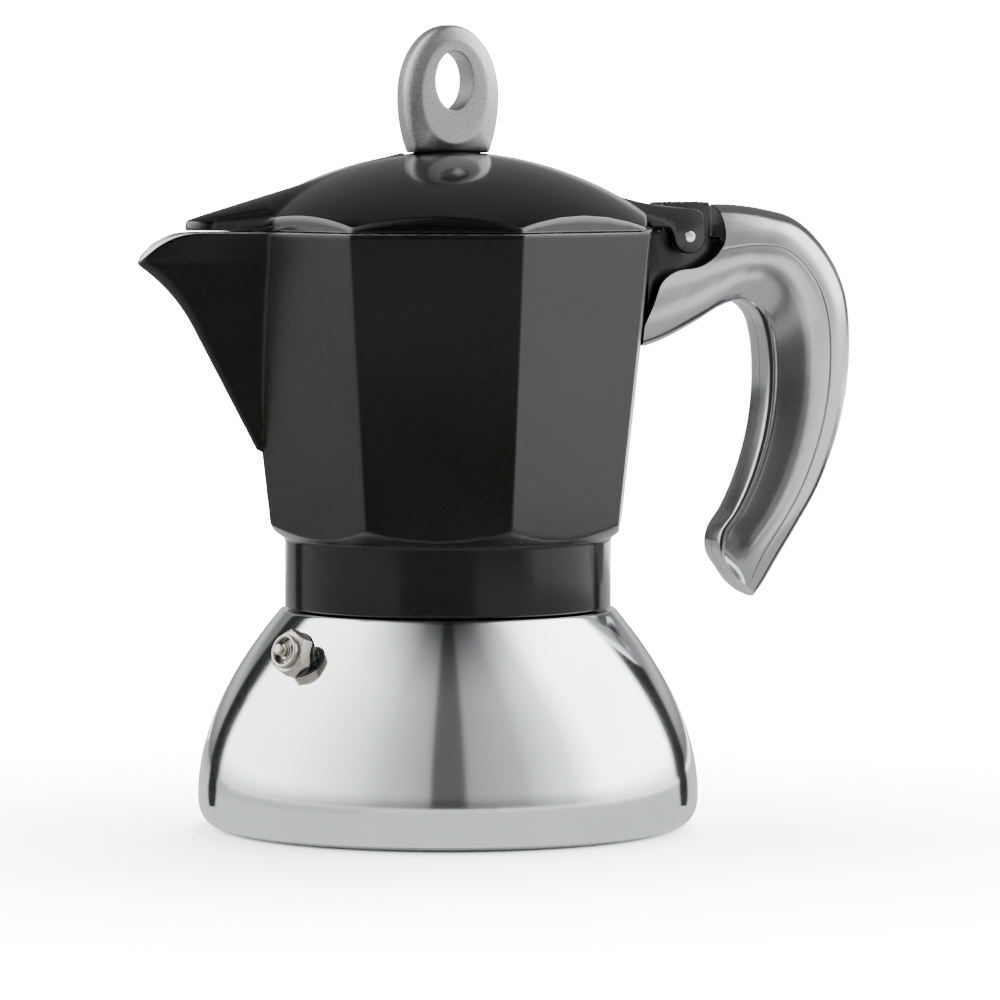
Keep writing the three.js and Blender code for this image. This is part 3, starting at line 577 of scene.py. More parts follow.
def build_valve():
    place = valve_matrix()
    front = VALVE_FRONT

    def turned(profile, steps=4, segments=64, wrap=False):
        points, faces = skin(lathe(rounded(profile, steps), segments), wrap)
        return moved(points, place), faces

    nut = skin(hexagon(NUT_ACROSS, NUT_LOW, NUT_HIGH))
    ring = turned([(RING_BORE, NUT_HIGH - 1, 0), (RING_RADIUS, NUT_HIGH - 1, 0),
                   (RING_RADIUS, front, 0.5), (2.7, front, 0.3), (RING_BORE, front - 0.5, 0)],
                  wrap=True)
    shank = turned([(SHANK_RADIUS, SHANK_END, 0), (SHANK_RADIUS, NUT_LOW + 0.2, 0)], segments=48)
    points, faces = joined((moved(nut[0], place), nut[1]), ring, shank)
    make_piece("valve_nut", points, faces, "boiler", ["valve_body"],
               "valve_brass", [NICKEL], 28)
    # A thin black disc across the ring's bore is painted shade for the dark hollow behind it. It is
    # not a silicone part.
    well = turned([(0, WELL_FLOOR, 0), (RING_BORE + 0.1, WELL_FLOOR, 0),
                   (RING_BORE + 0.1, WELL_FLOOR + 0.15, 0), (0, WELL_FLOOR + 0.15, 0)],
                  segments=48)
    make_piece("valve_well_painted_shade", *well, "boiler", (), "silicone", [CAST_BLACK])
    washer = turned([(WASHER_BORE, WASHER_LOW, 0), (WASHER_RADIUS, WASHER_LOW, 0.1),
                     (WASHER_RADIUS, WASHER_HIGH, 0.1), (WASHER_BORE, WASHER_HIGH, 0)], 3,
                    wrap=True)
    make_piece("valve_washer_seal", *washer, "boiler", ["valve_washer"], "silicone",
               [CAST_BLACK])
    stem = turned([
        (0, PLUG_LOW, 0), (PLUG_RADIUS, PLUG_LOW, 0.2), (PLUG_RADIUS, PLUG_HIGH, 0.2),
        (STEM_RADIUS, PLUG_HIGH, 0.1), (STEM_RADIUS, front - 1.1, 0), (1.2, front - 0.9, 0.1),
        (1.2, front + 0.2, 0.1), (0.8, front + 0.4, 0.1), (0.8, front + 0.7, 0.1),
        (1.12, front + 0.9, 0.2), (1.12, front + 1.5, 0.35), (0.6, front + 1.62, 0.1),
        (0, front + 1.62, 0)], segments=48)
    make_piece("valve_pin", *stem, "valve", ["valve_stem"], "valve_brass", [NICKEL])


# ---------- collector


def corner_radius(z):
    share = (z - FOOT_Z) / (RIM_TOP - FOOT_Z)
    return FOOT_RADIUS + share * (RIM_RADIUS - FOOT_RADIUS)


def tangent_angle(apothem, fillet):
    """Polar angle from a corner's direction at which its fillet meets the flat."""
    centre = (apothem - fillet) / FLAT
    return np.arctan2(fillet * math.sin(math.pi / 8), centre + fillet * FLAT)


def octagon_radius(theta, apothem, fillet):
    """Distance from the axis of an octagon with rounded corners, corners at 45 degree steps."""
    off = np.abs((theta + math.pi / 8) % (math.pi / 4) - math.pi / 8)
    centre = (apothem - fillet) / FLAT
    arc = centre * np.cos(off) + np.sqrt(
        np.maximum(fillet**2 - (centre * np.sin(off)) ** 2, 0))
    flat = apothem / np.cos(math.pi / 8 - off)
    return np.where(off < tangent_angle(apothem, fillet), arc, flat)


def columns(dense_half=18.0, dense_step=0.35):
    """Where the mesh's columns stand: (corner, share of the fillet, share of the flat)."""
    made = []
    for corner in range(CORNERS):
        for share in np.linspace(-1, 1, 11):
            made.append((corner, share, 0.0))
        near_spout = corner in (3, 4)
        if near_spout:
            degrees = np.arange(dense_step, 43, dense_step)
            from_spout = 45 - degrees if corner == 3 else degrees
            keep = (from_spout < dense_half) | (np.arange(len(degrees)) % 8 == 0)
            shares = degrees[keep] / 44.0
        else:
            shares = np.array([0.015, 0.04, 0.12, 0.3, 0.5, 0.7, 0.88, 0.96, 0.985])
        for share in shares:
            made.append((corner, 1.0, float(np.clip(share, 0.01, 0.99))))
    return np.array(made)


def column_angles(table, apothem, fillet):
    meet = tangent_angle(apothem, fillet)
    return (table[:, 0] * math.pi / 4 + table[:, 1] * meet
            + table[:, 2] * (math.pi / 4 - 2 * meet))


def wedge_radius(theta, root, half, reach, nose):
    """Distance from the axis of a wedge with a round nose that points to -X."""
    off = np.abs(theta % TURN - math.pi)
    centre = reach - nose
    span = math.hypot(centre - root, half)
    lean = math.atan2(half, centre - root)
    swing = math.acos(min(nose / span, 1))
    angle = math.pi - lean - swing
    tangent = (centre + nose * math.cos(angle), nose * math.sin(angle))
    meet = math.atan2(tangent[1], tangent[0])
    arc = centre * np.cos(off) + np.sqrt(np.maximum(nose**2 - (centre * np.sin(off)) ** 2, 0))
    cross = tangent[0] * half - tangent[1] * root
    slope = (half - tangent[1]) * np.cos(off) - (root - tangent[0]) * np.sin(off)
    line = cross / np.where(np.abs(slope) < 1e-6, 1e-6, slope)
    inside = off < math.atan2(half, root) + 0.06
    line = np.where(inside & (line > 0) & (line <= reach), line, 0)
    return np.where(off < meet, arc, line)


def spout_ridge():
    """Table of (height, distance from the axis) of the ridge under the spout."""
    foot = (corner_radius(SPOUT_FOOT_Z), SPOUT_FOOT_Z)
    slope = (SPOUT_KNEE[0] - foot[0]) / (SPOUT_KNEE[1] - foot[1])
    rise = 0.6 * (SPOUT_TIP_Z - SPOUT_KNEE[1])
    bend = (SPOUT_KNEE[0] + slope * rise, SPOUT_KNEE[1] + rise)
    curve = bezier(SPOUT_KNEE, bend, (SPOUT_TIP, SPOUT_TIP_Z), 30)
    table = np.array([foot, *curve, (SPOUT_TIP + 0.5, RIM_TOP + 5)])
    return table[:, 1], table[:, 0]


RIDGE = spout_ridge()
LIP = np.array(bezier((SPOUT_KNEE[0], RIM_TOP), (SPOUT_KNEE[0] + 7, RIM_TOP),
                      (SPOUT_TIP + 0.4, SPOUT_TIP_Z + 0.2), 40))


def lip_height(out):
    """Height of the rim at a distance towards the spout."""
    return np.interp(out, LIP[:, 0], LIP[:, 1])


def body_radius(theta, z, inset=0.0):
    """Outside, or with an inset inside, of the collector at one height."""
    apothem = corner_radius(z) * FLAT - inset
    fillet = EDGE_ROUND if inset == 0 else INNER_ROUND
    wall = octagon_radius(theta, apothem, fillet)
    share = (z - SPOUT_FOOT_Z) / (RIM_TOP - SPOUT_FOOT_Z)
    thin = SPOUT_WALL if inset else 0.0
    half = SPOUT_HALF * share - thin * 1.1
    reach = float(np.interp(z, *RIDGE)) - thin * 1.5
    nose = max((0.9 + (SPOUT_NOSE - 0.9) * min(share, 1) ** 2) - thin * 0.6, 0.45)
    corner = corner_radius(z)
    low_down = max(0, 1 - 1.75 * max(share, 0))
    root = corner * FLAT**2 - inset + 0.3 * low_down * corner * (1 - FLAT**2)
    if share <= 0.02 or half <= nose * 0.6 or reach - nose <= root + 0.3:
        return wall
    return soft_max(wall, wedge_radius(theta, root, half, reach, nose), 0.8)


def body_ring(table, heights, inset=0.0, shift=0.0):
    """Points round the collector; heights may change from column to column."""
    heights = np.broadcast_to(np.asarray(heights, float), len(table))
    ring = np.empty((len(table), 3))
    for j, z in enumerate(heights):
        apothem = corner_radius(z) * FLAT - inset
        fillet = EDGE_ROUND if inset == 0 else INNER_ROUND
        theta = column_angles(table[j : j + 1], apothem, fillet)
        r = body_radius(theta, z, inset)[0] - shift
        ring[j] = (r * math.cos(theta[0]), r * math.sin(theta[0]), z)
    return ring


def rim_heights(table, inset):
    """Height of the rim over each column, which follows the pouring lip."""
    z = np.full(len(table), RIM_TOP)
    for _ in range(8):
        ring = body_ring(table, z, inset)
        z = lip_height(-ring[:, 0])
    return z


def cone_height(radius):
    return COLLAR_TOP + (radius - COLLAR_RADIUS) * (FOOT_Z - COLLAR_TOP) / (
        FOOT_RADIUS - COLLAR_RADIUS)


def foot_heights(table):
    """Height at which the cone under the octagon meets each column."""
    z = np.full(len(table), FOOT_Z)
    for _ in range(6):
        ring = body_ring(table, z)
        z = cone_height(np.hypot(ring[:, 0], ring[:, 1]))
    return z


def round_rings(table, profile):
    """Plain round rings that share the collector's columns."""
    theta = column_angles(table, corner_radius(FOOT_Z) * FLAT, EDGE_ROUND)
    return [ring_points(theta, r, z) for r, z in profile]


def blend_rings(a, b, shares):
    return [a + (b - a) * share for share in shares]


def build_collector():
    table = columns()
    foot, top = foot_heights(table), rim_heights(table, 0.0)
    rings = round_rings(table, [
        *rounded([(SOCKET_RADIUS, CEILING, 0), (SOCKET_RADIUS, COLLAR_BOTTOM, 0.5),
                  (COLLAR_RADIUS, COLLAR_BOTTOM, 0.6), (COLLAR_RADIUS, COLLAR_TOP, 0.5),
                  (COLLAR_RADIUS + 1, cone_height(COLLAR_RADIUS + 1), 0)], 5)])
    collar_rows = len(rings) - 1
    crease = body_ring(table, foot)
    rings += blend_rings(rings[-1], crease, (0.3, 0.6, 0.85))
    above = body_ring(table, foot + 0.5)
    rings.append(0.12 * rings[-1] + 0.7 * crease + 0.18 * above)
    rings.append(above)
    for share in np.linspace(0, 1, 90)[1:]:
        rings.append(body_ring(table, foot + 0.5 + share * (top - 0.45 - foot - 0.5)))
    outer_rows = len(rings)
    rings.append(body_ring(table, top - 0.12, shift=0.1))
    rings.append(body_ring(table, top, shift=0.4))
    inner_top = rim_heights(table, WALL)
    rings.append(body_ring(table, inner_top, WALL, shift=-0.35))
    for share in np.linspace(0, 1, 60) ** 1.1:
        rings.append(body_ring(table, inner_top - 0.25 + share * (FLOOR_Z + 2.5 - inner_top), WALL))
    low = rings[-1]
    for angle in np.linspace(0, math.pi / 2, 6)[1:]:
        ring = low.copy()
        pull = 1 - 2.5 * (1 - math.cos(angle)) / np.hypot(low[:, 0], low[:, 1])
        ring[:, :2] *= pull[:, None]
        ring[:, 2] = low[:, 2] - 2.25 * math.sin(angle)
        rings.append(ring)
    floor = round_rings(table, [(COLUMN_FOOT + 1, FLOOR_Z), (COLUMN_BORE, FLOOR_Z),
                                (COLUMN_BORE, CEILING)])
    rings += blend_rings(rings[-1], floor[0], (0.5, 1))
    rings += floor[1:]
    points, faces = skin(rings, wrap=True)
    piece = make_piece("collector_body", points, faces, "collector", ["collector"],
                       "black_paint", [BODY_BLACK, RIM_METAL, ALUMINIUM, COLLAR_BLACK_PAINTED_LIGHT], 30)
    count = len(table)
    index = np.zeros(len(faces), int)
    index[: collar_rows * count] = 3
    index[outer_rows * count : (outer_rows + 2) * count] = 1
    index[(outer_rows + 2) * count :] = 2
    piece.data.polygons.foreach_set("material_index", index)
    ridge = thread(SOCKET_RADIUS + THREAD_SINK, SOCKET_RADIUS - THREAD_DEPTH,
                   THREAD_LOW - THREAD_PITCH / 2)
    make_piece("collar_thread", *ridge, "collector", (), "bare_aluminium", [ALUMINIUM])


def build_column():
    outside = rounded([(COLUMN_BORE, FLOOR_Z - 1, 0), (COLUMN_FOOT + 2, FLOOR_Z - 1, 0),
                       (COLUMN_FOOT + 2, FLOOR_Z, 0.3), (COLUMN_FOOT, FLOOR_Z + 1, 1.5),
                       (COLUMN_TIP, COLUMN_TOP - 3, 1.5), (COLUMN_TIP * 0.6, COLUMN_TOP, 1.5),
                       (0, COLUMN_TOP + 0.2, 0)], 6)
    inside = [(0, COLUMN_TOP - 3), (COLUMN_BORE - 0.4, COLUMN_TOP - 3.2),
              (COLUMN_BORE, COLUMN_TOP - 4)]
    points, faces = skin(lathe([*outside, *inside], 96), wrap=True)
    piece = make_piece("column", points, faces, "collector", (), "bare_aluminium", [ALUMINIUM])
    low, high = COLUMN_TOP - 7.4, COLUMN_TOP - 3
    window = plate(rounded_loop([(-20, low, 0.8), (20, low, 0.8), (20, high, 0.8),
                                 (-20, high, 0.8)]), -2.2, 2.2, 0.6)
    cut(piece, window)


def from_pin(*points):
    """Outline points that are given from the hinge pin's axis."""
    return [(PIN_X + x, PIN_Z + z, *fillet) for x, z, *fillet in points]


LUG_HALF = 3.9
LUG_ROOM = LUG_HALF + 0.3  # half width of what it turns between or sits in
EAR_OUTSIDE = 7.0
EYE_RADIUS = 3.4  # of the ears, round the pin
PIN_RADIUS, PIN_HALF = 1.15, 7.2


def build_lug():
    """The cast block that carries the hinge pin, with the tongue inside the handle."""
    outline = rounded_loop([
        (RIM_RADIUS - 3, PIN_Z - 18, 0),
        *from_pin((-3, -15, 2), (6, -9.4, 2), (13, -9.4, 1), (13, -0.6, 1), (5.6, -0.6, 1),
                  (5.6, 6.9, 0.5), (-4.9, 6.9, 1.2)),
        (PIN_X - 5.2, RIM_TOP - 0.6, 0.8), (RIM_RADIUS - 2.6, RIM_TOP - 0.6, 0)])
    points, faces = plate(outline, -LUG_HALF, LUG_HALF, 0.5)
    make_piece("hinge_lug", points, faces, "collector", (), "black_paint", [CAST_BLACK], 30)


# ---------- lid


def dome_height(radius):
    return LID_APEX - DOME_RADIUS + np.sqrt(DOME_RADIUS**2 - np.minimum(radius, 60) ** 2)


def cover_half(out):
    """Half width of the spout cover in plan."""
    share = np.clip((out - 39.5) / (COVER_REACH - COVER_NOSE - 39.5), 0, 1)
    tapered = COVER_HALF + (COVER_NOSE * 1.04 - COVER_HALF) * share
    past = np.clip((out - (COVER_REACH - COVER_NOSE)) / COVER_NOSE, 0, 0.999)
    return np.where(out > COVER_REACH - COVER_NOSE, COVER_NOSE * np.sqrt(1 - past**2), tapered)


def cover_height(x, y):
    """The roof over the spout: a straight falling ridge with a round back."""
    out = -x
    ridge = LID_APEX - 0.25 - COVER_SLOPE * (out - COVER_START)
    drop = np.clip(out - (COVER_REACH - 5.5), 0, 9)
    ridge = ridge - 0.004 * drop**2
    half = cover_half(out) + 0.01
    share = np.clip(np.abs(y) / half, 0, 1)
    height = COVER_EDGE_Z + (ridge - COVER_EDGE_Z) * (1 - share**1.9) ** 0.62
    return np.where((out > COVER_START) & (np.abs(y) < half), height, 0)


def lid_radius(theta, inset=0.0):
    """Plan of the lid: the octagon and the cover over the spout."""
    plain = octagon_radius(theta, LID_RADIUS * FLAT - inset, 1.2)
    wedge = wedge_radius(theta, 39.2, COVER_HALF - inset, COVER_REACH - inset,
                         COVER_NOSE - inset * 0.8)
    return soft_max(plain, wedge, 0.6)


def lid_ring(theta, radius, lower=0.0, z=None):
    if z is None:
        cover = cover_height(radius * np.cos(theta), radius * np.sin(theta))
        z = np.maximum(soft_max(dome_height(radius), cover, 0.7) - lower, ROOF_LOW)
    return ring_points(theta, radius, z)


def build_lid():
    table = columns(dense_half=26.0, dense_step=0.26)
    theta = column_angles(table, LID_RADIUS * FLAT, 1.2)
    outer = lid_radius(theta)
    rings = [lid_ring(theta, np.full(len(theta), 1e-3))]
    for share in np.linspace(0, 1, 160)[1:]:
        rings.append(lid_ring(theta, (outer - 0.45) * share))
    brim = lid_ring(theta, outer - 0.12)
    brim[:, 2] -= 0.1
    rings.append(brim)
    side = lid_ring(theta, outer)
    side[:, 2] -= 0.42
    side[:, 2] = np.maximum(side[:, 2], LID_BOTTOM + LID_LIP)
    rings.append(side)
    foot = outer - LID_LEAN * (side[:, 2] - LID_BOTTOM - LID_LIP)
    rings.append(lid_ring(theta, foot, z=LID_BOTTOM + LID_LIP))
    rings.append(lid_ring(theta, foot - LID_LIP, z=LID_BOTTOM))
    inner = lid_radius(theta, 2.6) - 0.2
    rings.append(lid_ring(theta, inner, z=LID_BOTTOM))
    rings.append(lid_ring(theta, inner - 0.3, z=LID_BOTTOM + 0.3))
    for share in np.linspace(0.985, 0, 40):
        rings.append(lid_ring(theta, np.maximum((inner - 0.3) * share, 1e-3), LID_THICKNESS))
    points, faces = skin(rings)
    piece = make_piece("lid_shell", points, faces, "lid", ["lid"], "black_paint", [LID_BLACK], 30)
    reach = math.hypot(4.9, 6.9) + 0.6
    arc = [(PIN_X + reach * math.cos(a), PIN_Z + reach * math.sin(a))
           for a in np.linspace(0, TURN, 72, endpoint=False)]
    cut(piece, plate(arc, -LUG_ROOM, LUG_ROOM, 0.1))


def build_ears():
    """The two ears that carry the lid on its pin."""
    eye = [(EYE_RADIUS * math.cos(a), EYE_RADIUS * math.sin(a), 0)
           for a in np.linspace(-0.15, -math.pi + 0.1, 16)]
    outline = rounded_loop([
        (34.5, LID_BOTTOM + 4.9, 0), (33.2, LID_BOTTOM + 6.6, 0), (38.7, PIN_Z + 6.9, 5),
        (45.1, PIN_Z + 6.1, 4), *from_pin((2.9, 5.6, 2.6), (EYE_RADIUS, 2, 1.5), *eye),
        (PIN_X - 4.1, LID_BOTTOM, 1), (PIN_X - 6, LID_BOTTOM + 0.1, 0),
        (41, LID_BOTTOM + 0.1, 0), (39.6, LID_BOTTOM + 1.9, 0)], 4)
    parts = [plate(outline, low, high, 0.45)
             for low, high in ((-EAR_OUTSIDE, -LUG_ROOM), (LUG_ROOM, EAR_OUTSIDE))]
    points, faces = joined(*parts)
    make_piece("lid_ears", points, faces, "lid", (), "black_paint", [CAST_BLACK], 30)


def build_hinge_pin():
    profile = rounded([(0, -PIN_HALF, 0), (PIN_RADIUS, -PIN_HALF, 0.3),
                       (PIN_RADIUS, PIN_HALF, 0.3), (0, PIN_HALF, 0)], 4)
    points, faces = skin(lathe(profile, 48))
    turn = Matrix.Translation((PIN_X, 0, PIN_Z)) @ Matrix.Rotation(math.pi / 2, 4, "X")
    make_piece("hinge_pin_rod", moved(points, turn), faces, "collector", ["hinge_pin"],
               "steel_fastener", [PIN_STEEL])


# ---------- knob


KNOB_HALF = (10.0, 4.25)  # half width, half thickness
KNOB_RISE, KNOB_DROP = 14.1, 18.5  # from the widest place up to the top, and down
HOLE_HALF = (3.9, 5.83)
HOLE_Z = KNOB_TOP - 11.1
FACE_HALF = (6.9, 10.2)  # flat front inside the bevel
FACE_Z = KNOB_TOP - 13.4
KNOB_BEVEL = 1.25  # how far the bevel falls back at the silhouette


def egg_outline():
    """Side outline of the ring knob: (x, z), cut flat at the lid."""
    widest, base = KNOB_TOP - KNOB_RISE, LID_APEX - 0.3
    points = []
    for a in np.linspace(-math.pi / 2, 3 * math.pi / 2, 720, endpoint=False):
        tall = KNOB_RISE if math.sin(a) > 0 else KNOB_DROP
        points.append((KNOB_HALF[0] * math.cos(a), max(widest + tall * math.sin(a), base)))
    return points


def build_knob():
    outline = np.array(egg_outline())
    polar = np.arctan2(outline[:, 1] - HOLE_Z, outline[:, 0])
    radius = np.hypot(outline[:, 0], outline[:, 1] - HOLE_Z)
    order = np.argsort(polar)
    polar, radius = polar[order], radius[order]
    shift = (FACE_Z - HOLE_Z) / FACE_HALF[1]
    thick, edge = KNOB_HALF[1], KNOB_HALF[1] - KNOB_BEVEL
    rings = []
    for a in np.linspace(-math.pi, math.pi, 160, endpoint=False):
        silhouette = float(np.interp(a, polar, radius, period=TURN))
        hole = 1 / math.hypot(math.cos(a) / HOLE_HALF[0], math.sin(a) / HOLE_HALF[1])
        # distance to the ellipse of the flat front, whose centre is not the hole's
        ca, sa = math.cos(a) / FACE_HALF[0], math.sin(a) / FACE_HALF[1]
        square = ca * ca + sa * sa
        root = math.sqrt(max((sa * shift) ** 2 - square * (shift**2 - 1), 0))
        face = min((sa * shift + root) / square, silhouette - 0.9)
        section = rounded_loop([
            (hole, -thick, 0.3), (face, -thick, 0.5), (silhouette, -edge, 1.5),
            (silhouette, edge, 1.5), (face, thick, 0.5), (hole, thick, 0.3)], 6)
        rings.append([(r * math.cos(a), y, HOLE_Z + r * math.sin(a)) for r, y in section])
    points, faces = skin(rings, wrap=True)
    make_piece("knob_ring", points, faces, "lid", ["knob"], "grey_plastic", [KNOB_GREY], 50)


# ---------- handle

# Stations from the body round to the tip, from the pin's axis:
# inner x, inner z, outer x, outer z, width share, how far the flute has grown.
STATIONS = [
    (-13.1, -23.6, 0.9, 6.3, 0.86, 0),
    (-4.5, -21.0, 6.5, 6.4, 0.88, 0),
    (2.8, -17.4, 11.9, 6.3, 0.92, 0.05),
    (8.2, -14.2, 18.3, 5.4, 0.96, 0.2),
    (12.1, -13.2, 24.9, 3.5, 1.0, 0.45),
    (15.6, -15.6, 31.2, -2.2, 1.0, 0.75),
    (17.4, -20.5, 35.8, -11.0, 1.0, 0.95),
    (18.0, -29.5, 36.9, -24.0, 1.0, 1),
    (16.9, -39.0, 35.0, -37.5, 0.99, 1),
    (14.1, -48.5, 30.3, -50.5, 0.97, 1),
    (11.0, -55.0, 25.3, -59.0, 0.94, 1),
    (8.0, -59.5, 20.9, -66.0, 0.89, 1),
    (7.6, -63.5, 17.6, -71.2, 0.82, 1),
    (10.4, -68.4, 15.8, -73.2, 0.7, 1),
]
# Half section: share of the depth from the inner face, half width of the arm, of the grip.
SECTION = [
    (0.0, 1.6, 3.4), (0.006, 2.6, 4.7), (0.025, 3.7, 5.6), (0.05, 4.6, 5.95),
    (0.075, 5.2, 6.05), (0.12, 6.0, 6.4), (0.2, 6.95, 7.0), (0.3, 7.75, 7.7),
    (0.38, 8.15, 8.15), (0.47, 8.45, 8.45), (0.56, 8.55, 8.5), (0.615, 8.5, 8.45),
    (0.63, 8.3, 8.25), (0.65, 8.5, 8.45), (0.73, 8.25, 8.2), (0.83, 7.2, 7.2),
    (0.915, 5.4, 5.4), (0.975, 3.0, 3.0), (1.0, 0.6, 0.6),
]
NOTCH = [(7.6, 7), (7.8, 1.5), (7.2, -1.5), (5.1, -4.2), (2, -6.1), (-3, -7), (-6, -9.2),
         (-7.6, -13.5), (-10.4, -21)]
SEAM_GAP = 0.1


def handle_rings(side):
    """Rings of one shell, from the body round to the tip."""
    inner = spline([row[0:2] for row in STATIONS], 10)
    outer = spline([row[2:4] for row in STATIONS], 10)
    along = spline([row[4:6] for row in STATIONS], 10)
    arm, grip = (spline([(row[0], row[i]) for row in SECTION], 4) for i in (1, 2))
    rings = []
    for near, far, (share, flute) in zip(inner, outer, along):
        section = [(0, SEAM_GAP)]
        for part, half in arm + (grip - arm) * min(max(flute, 0), 1):
            section.append((part, max(half * share, SEAM_GAP)))
        section.append((1, SEAM_GAP))
        ring = []
        for part, half in section:
            x, z = near + (far - near) * part
            ring.append((PIN_X + x, side * half, PIN_Z + z))
        rings.append(ring if side < 0 else ring[::-1])
    return rings


def hinge_room():
    outline = from_pin((NOTCH[0][0], 30), *spline(NOTCH, 10), (-30, -26), (-30, 30))
    return plate(outline, -20, 20, 0.1)


def tongue_room():
    outline = from_pin((-20, -18.6), (-7.4, -18.6), (-3, -15.6), (6, -10.1), (13.8, -10.1),
                       (13.8, -0.2), (5.9, -0.2), (5.9, 14), (-20, 14))
    return plate(outline, -LUG_ROOM, LUG_ROOM, 0.1)


def body_room():
    """The collector's outside, a little larger, so that the handle stops short of it."""
    angles = np.arange(CORNERS) * TURN / CORNERS
    return skin([ring_points(angles, corner_radius(z) + 0.5, z)
                 for z in (COLLAR_TOP, RIM_TOP + 12)])


SCREWS = {"upper": (10.0, -5.0), "lower": (23.2, -48.0)}  # from the pin's axis
SCREW_HEAD = 3.0
SCREW_SEAT, SCREW_TOP = 6.3, 8.3  # of the head, from the seam
SLOT_HALF = (1.9, 0.35)


def across_handle(points, x, z):
    """Points of a turned part, laid along Y at a place from the pin's axis."""
    turn = Matrix.Rotation(-math.pi / 2, 4, "X")
    return moved(points, Matrix.Translation((PIN_X + x, 0, PIN_Z + z)) @ turn)


def cross_rod(x, z, radius, low, high, segments=64):
    points, faces = skin(lathe([(radius, low), (radius, high)], segments))
    return across_handle(points, x, z), faces


def build_handle():
    for name, side in (("near", -1), ("far", 1)):
        points, faces = skin(handle_rings(side))
        piece = make_piece(f"handle_{name}", points, faces, "collector",
                           [f"handle_shell_{name}"], "grey_plastic",
                           [HANDLE_GREY, CAST_BLACK], 40)
        # The faces cut here get black paint: painted shade on the grey plastic faces by the hinge,
        # the tongue and the body.
        cut(piece, hinge_room(), tongue_room(), body_room(), index=1)
        if side > 0:
            cut(piece, *(cross_rod(x, z, SCREW_HEAD + 0.3, SCREW_SEAT - 0.3, 20)
                         for x, z in SCREWS.values()))


def build_screws():
    seat, top = SCREW_SEAT, SCREW_TOP
    for name, (x, z) in SCREWS.items():
        profile = rounded([(0, -5, 0), (1.5, -5, 0.4), (1.5, seat, 0), (SCREW_HEAD, seat, 0.2),
                           (SCREW_HEAD, top - 0.7, 0.6), (2.2, top - 0.1, 0.4), (0, top, 0)], 4)
        points, faces = skin(lathe(profile, 64))
        piece = make_piece(f"screw_{name}", across_handle(points, x, z), faces, "collector",
                           [f"handle_screw_{name}"], "steel_fastener", [PIN_STEEL])
        for long, wide in (SLOT_HALF, SLOT_HALF[::-1]):
            bar = [(PIN_X + x + i * long, PIN_Z + z + j * wide)
                   for i, j in ((-1, -1), (1, -1), (1, 1), (-1, 1))]
            cut(piece, plate(bar, top - 1.1, 10, 0.02))


# ---------- carried-over nodes

CARRIED = {
    "funnel": ALUMINIUM, "funnel_plate": ALUMINIUM, "filter_plate": ALUMINIUM,
    "gasket": RUBBER, "valve_seat": NICKEL, "valve_spring": PIN_STEEL, "knob_screw": PIN_STEEL,
}


def dress_carried_nodes():
    for name, material in CARRIED.items():
        mesh_object = frame["nodes"][name]
        if not mesh_object.material_slots:
            mesh_object.data.materials.append(material)
        for place in mesh_object.material_slots:
            place.material = material


# ---------- floor, light, camera


def floor_paper():
    """White paper. The camera sees it brighter than the pot's reflections do, and darker near the
    pot, which is a painted shadow round the base.
    """
    n = Paint("floor_paper")
    cloud = n.noise(3, 2)
    n.colour(cloud, (0.88, 0.88, 0.88), (0.9, 0.9, 0.9))
    n.set(Roughness=0.9, Specular_IOR_Level=0.0)
    bright = n.add("ShaderNodeBsdfDiffuse")
    away = n.add("ShaderNodeVectorMath", operation="LENGTH")
    n.link(n.place, away.inputs[0])
    # The camera's floor tone falls towards the pot's centre: painted shadow round the base.
    n.link(n.ramp(away.outputs["Value"], *FLOOR_BOOST_AND_PAINTED_SHADE, span=(0.06, 0.4)), bright.inputs["Color"])
    seen = n.mixed(n.camera_ray(), n.shader.outputs["BSDF"], bright.outputs["BSDF"])
    n.link(seen, n.tree.nodes["Material Output"].inputs["Surface"])
    return n.material


def stage_object(name, corners, faces, material):
    mesh = bpy.data.meshes.new(name)
    mesh.from_pydata([tuple(corner) for corner in corners], [], faces)
    mesh.materials.append(material)
    return placed(name, mesh)


def add_floor():
    size, below = 6.0, -0.0002
    corners = [(-size, -size, 0), (size, -size, 0), (size, size, 0), (-size, size, 0)]
    floor = stage_object("floor", corners, [(0, 1, 2, 3)], floor_paper())
    floor.location.z = below


def add_card(name, corners, faces, material):
    """A card that is seen only in reflections, and throws no shadow."""
    card = stage_object(name, corners, faces, material)
    card.visible_camera = False
    card.visible_diffuse = False
    card.visible_shadow = False


def one_sided_glow(name, tone):
    """Glows on the back of a face, the upper side of a level card, and is clear in front."""
    material = bpy.data.materials.new(name)
    material.use_nodes = True
    material.node_tree.nodes.clear()
    n = Nodes(material.node_tree)
    glow = n.add("ShaderNodeEmission")
    n.fill(glow, Color=(tone, tone, tone, 1))
    clear = n.add("ShaderNodeBsdfTransparent").outputs["BSDF"]
    back = n.add("ShaderNodeNewGeometry").outputs["Backfacing"]
    n.link(n.mixed(back, clear, glow.outputs["Emission"]),
           n.add("ShaderNodeOutputMaterial").inputs["Surface"])
    return material


def add_flat_card(name, azimuths, distances, height, tone):
    """A level card: part of a ring over the floor."""
    corners = []
    for distance, order in ((distances[0], 1), (distances[1], -1)):
        for azimuth in np.linspace(*azimuths[::order], 33):
            a = math.radians(azimuth)
            corners.append((math.sin(a) * distance, -math.cos(a) * distance, height))
    add_card(name, corners, [tuple(range(len(corners)))], one_sided_glow(name, tone))


FLAG_RIGHT, FLAG_BACK = 112, 58  # place beside the base, seen from the camera
FLAG_WIDTH, FLAG_LOW, FLAG_HIGH = 23, 1.2, 60
FLAG_FOOT = 70  # length of the tongue that runs from the flag towards the base


